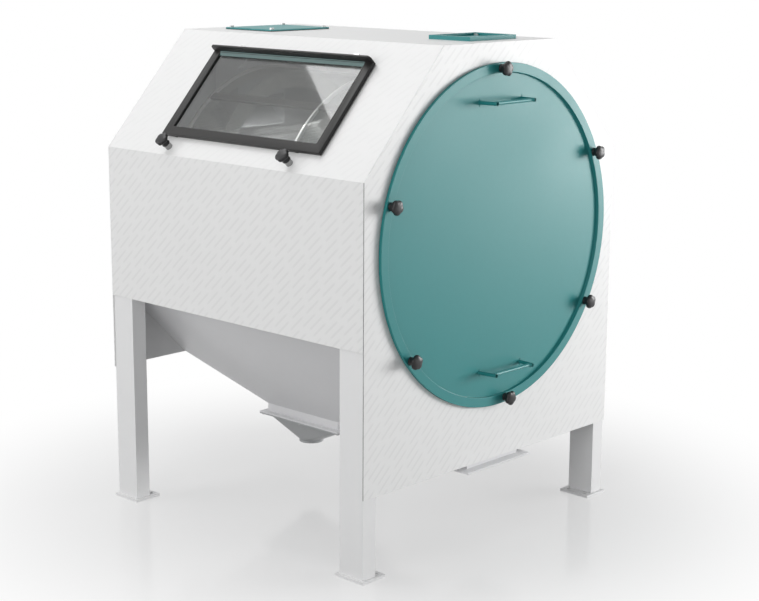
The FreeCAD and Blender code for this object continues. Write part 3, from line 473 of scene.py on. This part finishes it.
frontSkin = paintMaterial("whitePowderFront", {**hatchedPaint, "hatch": "X", "slopeBand": (1.118, 1.122),
                                               "slopeFade": (1.0, 0.35)})
# The inside colour is painted shade on the inner faces of the end panels
endSkin = paintMaterial("whitePowderEnd", {**hatchedPaint, "hatch": "Y", "inside": (0.56, 0.56, 0.565)})
leafPaint = paintMaterial("leafPaint", {"color": (0.085, 0.16, 0.155), "roughness": 0.45, "drift": 0.1})
drumSteel = metalMaterial("drumSteel", {"color": (0.34, 0.335, 0.32), "roughness": 0.36, "metallic": 1.0})
flightSteel = metalMaterial("flightSteel", {"color": (0.82, 0.81, 0.78), "roughness": 0.5, "metallic": 0.2})
transitionPaint = paintMaterial("transitionPaint", {"color": (0.40, 0.41, 0.415), "roughness": 0.36,
                                                    "drift": 0.1})
# Dark grey of the corner strip, a painted shadow line
seamPaint = paintMaterial("seamPaint", {"color": (0.26, 0.26, 0.26), "roughness": 0.6, "drift": 0.1})
collarSteel = metalMaterial("collarSteel", {"color": (0.36, 0.36, 0.36), "roughness": 0.16, "metallic": 1.0})
nodeSkins = {
    "front_panel": frontSkin,
    "rear_panel": frontSkin,
    "left_end_panel": endSkin,
    "right_end_panel": endSkin,
    "drum_bars": drumSteel,
    "long_spiral": flightSteel,
    "short_spiral": flightSteel,
    "inlet_spider": flightSteel,
    "middle_spider": flightSteel,
    "latch_collars": collarSteel,
    "outlet_transition": transitionPaint,
}


def dressNodes():
    slotOf = {entry["node"]: entry["material_slot"] for entry in frame["record"]["subparts"]}
    for name, node in nodes.items():
        node.data.materials.clear()
        node.data.materials.append(nodeSkins.get(name, materials[slotOf[name]]))


dressNodes()
print("materials made")


# Modelling helpers
def clearSelection():
    if bpy.context.object and bpy.context.object.mode != "OBJECT":
        bpy.ops.object.mode_set(mode="OBJECT")
    bpy.ops.object.select_all(action="DESELECT")


def selectAlone(piece):
    bpy.ops.object.select_all(action="DESELECT")
    piece.select_set(True)
    bpy.context.view_layer.objects.active = piece


def editMode():
    bpy.ops.object.mode_set(mode="EDIT")


def objectMode():
    bpy.ops.object.mode_set(mode="OBJECT")


def fixShape():
    # Puts the active piece's place, turn and size into its mesh
    bpy.ops.object.transform_apply(location=True, rotation=True, scale=True)


def pick(kind, test):
    # Selects faces, edges or verts of the piece in edit mode by their place
    bpy.ops.mesh.select_mode(type={"faces": "FACE", "edges": "EDGE", "verts": "VERT"}[kind])
    bpy.ops.mesh.select_all(action="DESELECT")
    mesh = bmesh.from_edit_mesh(bpy.context.edit_object.data)
    for part in getattr(mesh, kind):
        if test(part):
            part.select_set(True)
    mesh.select_flush_mode()
    bmesh.update_edit_mesh(bpy.context.edit_object.data)


def middle(part):
    total = Vector((0, 0, 0))
    for vertex in part.verts:
        total += vertex.co
    return total / len(part.verts)


def nearlySame(first, second):
    return abs(first - second) < 0.0001


def shareSelected(x, y, z):
    # Sizes the selected parts about the origin
    bpy.ops.transform.resize(value=(x, y, z), center_override=(0, 0, 0))


def pullFaces(value):
    bpy.ops.mesh.extrude_region_move(TRANSFORM_OT_translate={"value": value})


def pullEdges(value):
    bpy.ops.mesh.extrude_edges_move(TRANSFORM_OT_translate={"value": value})


def startBlock(size, place):
    bpy.ops.mesh.primitive_cube_add(size=1, location=place)
    block = bpy.context.object
    block.scale = size
    fixShape()
    return block


def startPlane(width, height, place):
    bpy.ops.mesh.primitive_plane_add(size=1, location=place)
    plane = bpy.context.object
    plane.scale = (width, height, 1)
    fixShape()
    return plane


def applyModifier(piece, kind, **values):
    modifier = piece.modifiers.new(kind.lower(), kind)
    for label, value in values.items():
        setattr(modifier, label, value)
    bpy.ops.object.modifier_apply(modifier=modifier.name)


def bevelPiece(piece, width, segments=2, angle=30):
    limit = math.radians(angle)
    applyModifier(piece, "BEVEL", width=width, segments=segments, limit_method="ANGLE", angle_limit=limit)


def smoothPiece(piece, angle=30):
    selectAlone(piece)
    bpy.ops.object.shade_smooth_by_angle(angle=math.radians(angle))


def closeEnds():
    # Fills the open ends of the piece in edit mode
    pick("edges", lambda edge: edge.is_boundary)
    bpy.ops.mesh.edge_face_add()
    bpy.ops.mesh.select_all(action="SELECT")


def joinPieces(parts, active):
    clearSelection()
    for part in parts:
        part.select_set(True)
    bpy.context.view_layer.objects.active = active
    bpy.ops.object.join()


def settle(piece, name, material, place=None):
    # Names the piece, puts its place in its mesh and gives it a finish
    selectAlone(piece)
    if place is not None:
        piece.matrix_world = place @ piece.matrix_world
    fixShape()
    piece.name = name
    piece.data.name = name
    piece.data.materials.clear()
    piece.data.materials.append(material)


def attach(piece, body, slotName, *replaced):
    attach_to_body(piece, body)
    if replaced:
        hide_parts(*replaced)


# Front slope of the housing, from its low edge
slope = {"angle": math.atan2(0.345, 0.312), "edge": (0, -0.555, 1.12)}
slopeMatrix = Matrix.Translation(slope["edge"]) @ Matrix.Rotation(slope["angle"], 4, "X")

# Dark strip at the corner between the front sheet and the door end, up to the slope: a painted shadow line along
# the sheet edge
seamValues = {"size": 0.0018, "proud": 0.0003, "edge": 0.0004}


def makeCornerSeam(values):
    clearSelection()
    low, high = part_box("right_end_panel")
    size, top = values["size"], slope["edge"][2]
    x = high.x + values["proud"] - size / 2
    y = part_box("front_panel")[0].y - values["proud"] + size / 2
    seam = startBlock((size, size, top - low.z), (x, y, (low.z + top) / 2))
    bevelPiece(seam, values["edge"], 2)
    smoothPiece(seam)
    settle(seam, "cornerSeam", seamPaint)
    attach(seam, "housing", "white_powder")


# Round door
doorValues = {
    "segments": 240,
    "rim": 0.0275,
    "step": 0.0015,
    "recess": 0.009,
    "skirt": 0.010,
    "sheet": 0.002,
    "edge": 0.0007,
}


def makeDoor(values):
    clearSelection()
    low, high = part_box("door_disc")
    centre = (high.x, (low.y + high.y) / 2, (low.z + high.z) / 2)
    radius = (high.y - low.y) / 2
    bpy.ops.mesh.primitive_circle_add(vertices=values["segments"], radius=radius, fill_type="NGON",
                                      location=centre, rotation=(0, math.pi / 2, 0))
    door = bpy.context.object
    editMode()
    bpy.ops.mesh.select_all(action="SELECT")
    bpy.ops.mesh.inset(thickness=values["rim"])
    bpy.ops.mesh.inset(thickness=values["step"])
    bpy.ops.transform.translate(value=(-values["recess"], 0, 0))
    pick("edges", lambda edge: edge.is_boundary)
    pullEdges((-values["skirt"], 0, 0))
    objectMode()
    applyModifier(door, "SOLIDIFY", thickness=values["sheet"], offset=-1)
    bevelPiece(door, values["edge"])
    smoothPiece(door, 20)
    settle(door, "doorDisc", materials["teal_powder"])
    attach(door, "door", "teal_powder", "door_disc")


# Bow handles
handleValues = {
    "base": 0.187,
    "span": 0.172,
    "height": 0.080,
    "rod": 0.0055,
    "bend": 0.014,
    "sides": 24,
    "steps": 7,
    "footLong": 0.0115,
    "footShort": 0.0085,
    "footWaist": 0.0055,
    "footSheet": 0.0025,
    "footEdge": 0.0006,
    "lift": 0.392,
    "lowerShift": 0.02,
}


def bentRod(points, bendRadius, radius, sides, steps):
    # A round bar: straight pulls and turned bends from one circle
    ahead = (points[1] - points[0]).normalized()
    bpy.ops.mesh.primitive_circle_add(vertices=sides, radius=radius, fill_type="NOTHING", location=points[0],
                                      rotation=ahead.to_track_quat("Z", "Y").to_euler())
    rod = bpy.context.object
    fixShape()
    editMode()
    bpy.ops.mesh.select_all(action="SELECT")
    at = points[0]
    for corner, following in zip(points[1:], points[2:]):
        onward = (following - corner).normalized()
        bend = ahead.angle(onward)
        reach = bendRadius * math.tan(bend / 2)
        pullEdges(corner - ahead * reach - at)
        centre = corner + (onward - ahead).normalized() * (bendRadius / math.cos(bend / 2))
        bpy.ops.mesh.spin(steps=steps, angle=bend, center=centre, axis=ahead.cross(onward))
        at = corner + onward * reach
        ahead = onward
    pullEdges(points[-1] - at)
    closeEnds()
    bpy.ops.mesh.remove_doubles(threshold=0.00001)
    bpy.ops.mesh.normals_make_consistent(inside=False)
    objectMode()
    return rod


def handleFoot(place, values):
    # Four-pointed foot plate with hollow sides
    off = values["footLong"] / 5
    bpy.ops.mesh.primitive_cylinder_add(vertices=8, radius=values["footLong"], depth=values["footSheet"],
                                        location=(0, 0, values["footSheet"] / 2))
    foot = bpy.context.object
    fixShape()
    editMode()
    pick("verts", lambda vertex: min(abs(vertex.co.x), abs(vertex.co.y)) > off)
    waist = values["footWaist"] / values["footLong"]
    shareSelected(waist, waist, 1)
    pick("verts", lambda vertex: abs(vertex.co.x) < off)
    shareSelected(1, values["footShort"] / values["footLong"], 1)
    objectMode()
    bevelPiece(foot, values["footEdge"], 2, 20)
    foot.matrix_world = place
    fixShape()
    return foot


def makeHandle(name, height, shift, values):
    clearSelection()
    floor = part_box("door_handles")[0].x
    start = floor + values["footSheet"] / 2
    top = floor + values["height"] - values["rod"]
    halfBase, halfSpan = values["base"] / 2, values["span"] / 2
    corners = [(start, -halfBase), (top, -halfSpan), (top, halfSpan), (start, halfBase)]
    points = [Vector((x, y + shift, height)) for x, y in corners]
    rod = bentRod(points, values["bend"], values["rod"], values["sides"], values["steps"])
    turned = seatMatrix(Vector((0, 0, 0)), Vector((1, 0, 0))) @ Matrix.Rotation(math.pi / 2, 4, "Z")
    feet = []
    for point in (points[0], points[-1]):
        clearSelection()
        feet.append(handleFoot(Matrix.Translation((floor, point.y, point.z)) @ turned, values))
    joinPieces(feet + [rod], rod)
    smoothPiece(rod)
    settle(rod, name, materials["teal_powder"])
    attach(rod, "door", "teal_powder", "door_handles")


def makeHandles(values):
    low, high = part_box("door_disc")
    height = (low.z + high.z) / 2
    makeHandle("doorHandleUpper", height + values["lift"], 0.0, values)
    makeHandle("doorHandleLower", height - values["lift"], values["lowerShift"], values)


# Star knobs; each ring of the head is a radius and a height
knobValues = {
    "sides": 60,
    "lobes": 5,
    "hollow": 0.88,
    "hollowPower": 1.6,
    "gripLow": 0.0160,
    "stud": 0.005,
    "studRoot": 0.86,
    "studSides": 20,
    "studLength": 0.027,
    "threadPitch": 0.0016,
    "turnEach": 0.7,
    "rings": (
        (0.0126, 0.0), (0.0128, 0.0020), (0.0120, 0.0045), (0.0114, 0.0090), (0.0122, 0.0140),
        (0.0160, 0.0164), (0.0203, 0.0178), (0.0215, 0.0196), (0.0217, 0.0230), (0.0213, 0.0262),
        (0.0198, 0.0284), (0.0156, 0.0300), (0.0090, 0.0309), (0.0030, 0.0311),
    ),
}


def makeKnobHead(name, values):
    # Five-lobed grip on a flared neck, pulled up ring by ring from its seat at z 0
    clearSelection()
    rings = values["rings"]
    bpy.ops.mesh.primitive_circle_add(vertices=values["sides"], radius=rings[0][0], fill_type="NGON",
                                      location=(0, 0, rings[0][1]))
    head = bpy.context.object
    fixShape()
    editMode()
    bpy.ops.mesh.select_all(action="SELECT")
    for before, after in zip(rings, rings[1:]):
        pullFaces((0, 0, after[1] - before[1]))
        share = after[0] / before[0]
        shareSelected(share, share, 1)
    perLobe = values["sides"] // values["lobes"]
    for step in range(1, perLobe):
        wave = 0.5 - 0.5 * math.cos(2 * math.pi * step / perLobe)
        share = 1 - (1 - values["hollow"]) * wave ** values["hollowPower"]

        def inHollow(vertex, step=step):
            turn = math.atan2(vertex.co.y, vertex.co.x) % (2 * math.pi)
            place = round(turn / (2 * math.pi) * values["sides"]) % perLobe
            return place == step and vertex.co.z > values["gripLow"]

        pick("verts", inHollow)
        shareSelected(share, share, 1)
    bpy.ops.mesh.select_all(action="SELECT")
    bpy.ops.mesh.normals_make_consistent(inside=False)
    objectMode()
    applyModifier(head, "SUBSURF", levels=1, render_levels=1)
    smoothPiece(head, 50)
    settle(head, name, materials["black_plastic"])
    return head


def makeStud(name, values):
    # Threaded stud below the seat, ridge by ridge
    clearSelection()
    length, root = values["studLength"], values["studRoot"]
    bpy.ops.mesh.primitive_circle_add(vertices=values["studSides"], radius=values["stud"] * root,
                                      fill_type="NGON", location=(0, 0, -length))
    stud = bpy.context.object
    fixShape()
    editMode()
    bpy.ops.mesh.select_all(action="SELECT")
    turns = int(length / values["threadPitch"])
    step = length / turns / 2
    for turn in range(turns):
        for share in (1 / root, root):
            pullFaces((0, 0, step))
            shareSelected(share, share, 1)
    closeEnds()
    bpy.ops.mesh.normals_make_consistent(inside=False)
    objectMode()
    smoothPiece(stud)
    settle(stud, name, materials["bare_steel"])
    return stud


def copyPiece(piece, name, place):
    copied = piece.copy()
    copied.data = piece.data.copy()
    bpy.context.scene.collection.objects.link(copied)
    copied.data.transform(place)
    copied.name = name
    copied.data.name = name
    return copied


def seatMatrix(point, direction):
    return Matrix.Translation(point) @ direction.to_track_quat("Z", "Y").to_matrix().to_4x4()


def makeDoorKnobs(values):
    # Returns the pattern head, which the window latches use too
    head = makeKnobHead("knobPattern", values)
    stud = makeStud("studPattern", values)
    for number in range(1, 7):
        joint = joints["door_knob_%d_turn" % number]
        turned = Matrix.Rotation(number * values["turnEach"], 4, "Z")
        place = seatMatrix(Vector(joint["pos_m"]), Vector(joint["axis"])) @ turned
        body = "door_knob_%d" % number
        attach(copyPiece(head, "doorKnobHead%d" % number, place), body, "black_plastic", body)
        attach(copyPiece(stud, "doorKnobStud%d" % number, place), body, "bare_steel", body)
    bpy.data.objects.remove(stud)
    return head


# Window latches
latchValues = {
    "collar": 0.0153,
    "shaftEnd": -0.009,
    "reach": 0.045,
    "sheet": 0.003,
    "root": 0.009,
    "stud": 0.005,
    "intoHead": 0.004,
    "edge": 0.0003,
}


def makeLatch(side, head, values):
    # Knob on a shaft with a tongue under the sheet
    name = "window_latch_" + side
    joint = joints[name + "_turn"]
    outward = -Vector(joint["axis"])
    across = Vector((1, 0, 0))
    turned = Matrix((across, outward.cross(across), outward)).transposed().to_4x4()
    place = Matrix.Translation(joint["pos_m"]) @ turned
    lifted = place @ Matrix.Translation((0, 0, values["collar"]))
    attach(copyPiece(head, "windowKnob" + side.capitalize(), lifted), name, "black_plastic", name)
    clearSelection()
    bpy.ops.mesh.primitive_cylinder_add(vertices=32, radius=values["root"], depth=values["sheet"],
                                        location=(0, 0, values["shaftEnd"] + values["sheet"] / 2))
    tongue = bpy.context.object
    fixShape()
    editMode()
    pick("faces", lambda face: face.normal.x < -0.97 and abs(face.normal.z) < 0.1)
    pullFaces((values["root"] - values["reach"], 0, 0))
    pick("faces", lambda face: face.normal.z > 0.9 and abs(middle(face).x) < 0.001)
    bpy.ops.mesh.inset(thickness=values["root"] - values["stud"])
    pullFaces((0, 0, values["collar"] + values["intoHead"] - values["shaftEnd"] - values["sheet"]))
    objectMode()
    bevelPiece(tongue, values["edge"], 1)
    smoothPiece(tongue)
    settle(tongue, "latchTongue" + side.capitalize(), materials["bare_steel"], place)
    attach(tongue, name, "bare_steel", name)


# Window flap, modelled flat on the slope: x across, y up the slope from its low edge, z out of the sheet
windowValues = {
    "centre": 0.009,
    "width": 0.668,
    "low": 0.064,
    "high": 0.385,
    "border": 0.030,
    "topBorder": 0.010,
    "face": 0.015,
    "thickness": 0.012,
    "edge": 0.0016,
    "lipSheet": 0.006,
    "lipTop": 0.038,
    "lipInto": 0.001,
    "lipCorner": 0.012,
    "lipEdge": 0.001,
    "leafDepth": 0.013,
    "leafSheet": 0.0012,
    "leafFoot": 0.0070,
    "leafTip": 0.0008,
    "leafEdge": 0.0003,
}


def makeWindowFrame(values):
    clearSelection()
    height = values["high"] - values["low"]
    place = (values["centre"], values["low"] + height / 2, values["face"])
    border = startPlane(values["width"], height, place)
    editMode()
    bpy.ops.mesh.select_all(action="SELECT")
    bpy.ops.mesh.inset(thickness=values["border"])
    bpy.ops.mesh.delete(type="FACE")
    pick("verts", lambda vertex: nearlySame(vertex.co.y, values["high"] - values["border"]))
    bpy.ops.transform.translate(value=(0, values["border"] - values["topBorder"], 0))
    objectMode()
    applyModifier(border, "SOLIDIFY", thickness=values["thickness"], offset=-1)
    bevelPiece(border, values["edge"], 3)
    smoothPiece(border, 40)
    settle(border, "windowBorder", materials["dark_frame"], slopeMatrix)
    attach(border, "window_flap", "dark_frame", "window_frame")


def makeWindowLip(values):
    # Standing lip along the top edge with two rounded corners
    clearSelection()
    low = values["face"] - values["lipInto"]
    tall = values["lipTop"] - low
    deep = values["lipSheet"]
    place = (values["centre"], values["high"] - deep / 2, low + tall / 2)
    lip = startBlock((values["width"], deep, tall), place)
    editMode()
    half = values["width"] / 2

    def topCorner(edge):
        at = middle(edge)
        return nearlySame(at.z, values["lipTop"]) and nearlySame(abs(at.x - values["centre"]), half)

    pick("edges", topCorner)
    bpy.ops.mesh.bevel(offset=values["lipCorner"], segments=10, affect="EDGES")
    objectMode()
    bevelPiece(lip, values["lipEdge"], 3)
    smoothPiece(lip)
    settle(lip, "windowLip", materials["dark_frame"], slopeMatrix)
    attach(lip, "window_flap", "dark_frame", "window_frame")


def makeWindowLeaf(values):
    # Painted strip of the hinge leaf along the top of the pane, down to a thin lower edge
    clearSelection()
    width = values["width"] - 2 * values["border"]
    high = values["high"] - values["lipSheet"]
    place = (values["centre"], high - values["leafDepth"] / 2, values["face"] + values["leafSheet"])
    leaf = startPlane(width, values["leafDepth"], place)
    applyModifier(leaf, "SOLIDIFY", thickness=values["leafFoot"], offset=-1)
    editMode()
    foot = high - values["leafDepth"]
    pick("verts", lambda vertex: nearlySame(vertex.co.y, foot) and vertex.co.z > values["face"])
    bpy.ops.transform.translate(value=(0, 0, values["leafTip"] - values["leafFoot"]))
    objectMode()
    bevelPiece(leaf, values["leafEdge"], 1)
    smoothPiece(leaf)
    settle(leaf, "windowLeaf", leafPaint, slopeMatrix)
    attach(leaf, "window_flap", "teal_powder")


# Hinge knuckles and catches of the flap
knuckleValues = {
    "centres": (-0.24, 0.24),
    "shift": 0.020,
    "length": 0.020,
    "radius": 0.006,
    "pinLine": (0.393, 0.008),
    "webSheet": 0.006,
    "edge": 0.0004,
    "catchWidth": 0.016,
    "catchSheet": 0.003,
    "catchAt": 0.0677,
    "catchLow": -0.0123,
    "catchRise": 2.2,
    "catchEdge": 0.0003,
}


def makeKnuckle(x, values, frameValues):
    # Rolled eye with its web running back to the border
    along, height = values["pinLine"]
    bpy.ops.mesh.primitive_cylinder_add(vertices=32, radius=values["radius"], depth=values["length"],
                                        location=(x, along, height), rotation=(0, math.pi / 2, 0))
    knuckle = bpy.context.object
    fixShape()
    editMode()

    def facesBorder(face):
        level = abs(middle(face).z - height) < values["webSheet"] / 2
        return face.normal.y < -0.5 and abs(face.normal.x) < 0.1 and level

    pick("faces", facesBorder)
    pullFaces((0, frameValues["high"] + values["radius"] - along, 0))
    objectMode()
    bevelPiece(knuckle, values["edge"], 2, 50)
    return knuckle


def makeCatch(x, values, frameValues):
    # Hooked plate that reaches through the sheet to the latch tongue
    low, high = values["catchLow"], frameValues["face"] - frameValues["thickness"]
    sheet, at = values["catchSheet"], values["catchAt"]
    catch = startBlock((values["catchWidth"], sheet, high - low), (x, at, (low + high) / 2))
    hookLow, hookHigh = low + sheet, low + values["catchRise"] * sheet
    editMode()
    for height in (hookLow, hookHigh):
        bpy.ops.mesh.select_all(action="SELECT")
        bpy.ops.mesh.bisect(plane_co=(x, at, height), plane_no=(0, 0, 1))
    pick("faces", lambda face: face.normal.x < -0.9 and hookLow < middle(face).z < hookHigh)
    bpy.ops.transform.translate(value=(values["catchWidth"] - sheet, 0, 0))
    objectMode()
    bevelPiece(catch, values["catchEdge"], 1)
    return catch


def makeHingeKnuckles(values, frameValues):
    parts = []
    for centre in values["centres"]:
        for side in (-1, 1):
            clearSelection()
            x = frameValues["centre"] + centre + side * values["shift"]
            parts.append(makeKnuckle(x, values, frameValues))
    for side in ("left", "right"):
        clearSelection()
        parts.append(makeCatch(joints["window_latch_%s_turn" % side]["pos_m"][0], values, frameValues))
    joinPieces(parts, parts[0])
    smoothPiece(parts[0])
    settle(parts[0], "hingeKnuckles", materials["dark_frame"], slopeMatrix)
    attach(parts[0], "window_flap", "dark_frame", "window_frame")


makeCornerSeam(seamValues)
makeDoor(doorValues)
print("door made")
makeHandles(handleValues)
print("handles made")
knobHead = makeDoorKnobs(knobValues)
for sideName in ("left", "right"):
    makeLatch(sideName, knobHead, latchValues)
bpy.data.objects.remove(knobHead)
print("knobs made")
makeWindowFrame(windowValues)
makeWindowLip(windowValues)
makeWindowLeaf(windowValues)
makeHingeKnuckles(knuckleValues, windowValues)
print("window made")


# Floor, backdrop and lamps
floorValues = {
    "size": 60.0,
    "color": (0.52, 0.52, 0.52),
    "roughness": 0.13,
    "fadeSpan": (0.50, 1.60),
    "fadeWhite": (0.46, 1.0),
}
worldValues = {"color": (0.95, 0.97, 1.0), "strength": 0.18}
# Name, place, edge length, power and whether rays from the camera, mirrors and glass meet it
lampValues = [
    ("keyLamp", (5.6, 4.7, 1.4), 2.3, 160.0, False),
    ("sideLamp", (4.2, 6.6, 1.1), 2.6, 390.0, True),
    ("frontLamp", (1.6, -6.0, 3.4), 4.0, 160.0, True),
    ("topLamp", (-1.64, -0.9, 5.2), 3.2, 100.0, True),
    ("leftLamp", (-4.0, -5.0, 2.8), 3.5, 105.0, True),
    ("drumLamp", (-0.06, -0.08, 1.24), 0.5, 3.4, False),
]
lampTarget = (0, 0, 0.8)


def seenRays(tree):
    # 1 for rays of the camera, mirrors and glass, 0 for those that light the scene
    rays = tree.nodes.new("ShaderNodeLightPath").outputs
    seen = mathNode(tree, "MAXIMUM", rays["Is Camera Ray"], rays["Is Glossy Ray"])
    return mathNode(tree, "MAXIMUM", seen, rays["Is Transmission Ray"])


def makeFloor(values):
    # Plain floor that fades into the white backdrop away from the machine
    clearSelection()
    bpy.ops.mesh.primitive_plane_add(size=values["size"], location=(0, 0, 0))
    floor = bpy.context.object
    floor.name = "studioFloor"
    material, tree, shader, coordinates = startMaterial("studioFloor", values)
    length = tree.nodes.new("ShaderNodeVectorMath")
    length.operation = "LENGTH"
    tree.links.new(coordinates, length.inputs[0])
    fade = rangeNode(tree, length.outputs["Value"], values["fadeSpan"], values["fadeWhite"], "SMOOTHSTEP")
    white = tree.nodes.new("ShaderNodeEmission")
    white.inputs["Color"].default_value = (1, 1, 1, 1)
    mix = tree.nodes.new("ShaderNodeMixShader")
    tree.links.new(mathNode(tree, "MULTIPLY", fade, seenRays(tree)), mix.inputs["Fac"])
    tree.links.new(shader.outputs[0], mix.inputs[1])
    tree.links.new(white.outputs[0], mix.inputs[2])
    tree.links.new(mix.outputs[0], tree.nodes["Material Output"].inputs["Surface"])
    floor.data.materials.append(material)


def makeWorld(values):
    world = bpy.data.worlds.new("studio")
    bpy.context.scene.world = world
    world.use_nodes = True
    tree = world.node_tree
    ambient = tree.nodes["Background"]
    ambient.inputs["Color"].default_value = (*values["color"], 1)
    ambient.inputs["Strength"].default_value = values["strength"]
    white = tree.nodes.new("ShaderNodeBackground")
    white.inputs["Color"].default_value = (1, 1, 1, 1)
    mix = tree.nodes.new("ShaderNodeMixShader")
    tree.links.new(seenRays(tree), mix.inputs["Fac"])
    tree.links.new(ambient.outputs[0], mix.inputs[1])
    tree.links.new(white.outputs[0], mix.inputs[2])
    tree.links.new(mix.outputs[0], tree.nodes["World Output"].inputs["Surface"])


def makeLamps(values, target):
    for name, place, size, power, shines in values:
        data = bpy.data.lights.new(name, "AREA")
        data.shape = "SQUARE"
        data.size = size
        data.energy = power
        lamp = bpy.data.objects.new(name, data)
        lamp.location = place
        lamp.visible_camera = shines
        lamp.visible_glossy = shines
        lamp.visible_transmission = shines
        toward = Vector(target) - Vector(place)
        lamp.rotation_euler = toward.to_track_quat("-Z", "Y").to_euler()
        bpy.context.scene.collection.objects.link(lamp)


makeFloor(floorValues)
makeWorld(worldValues)
makeLamps(lampValues, lampTarget)
bpy.context.scene.view_settings.view_transform = "Standard"
print("studio made")
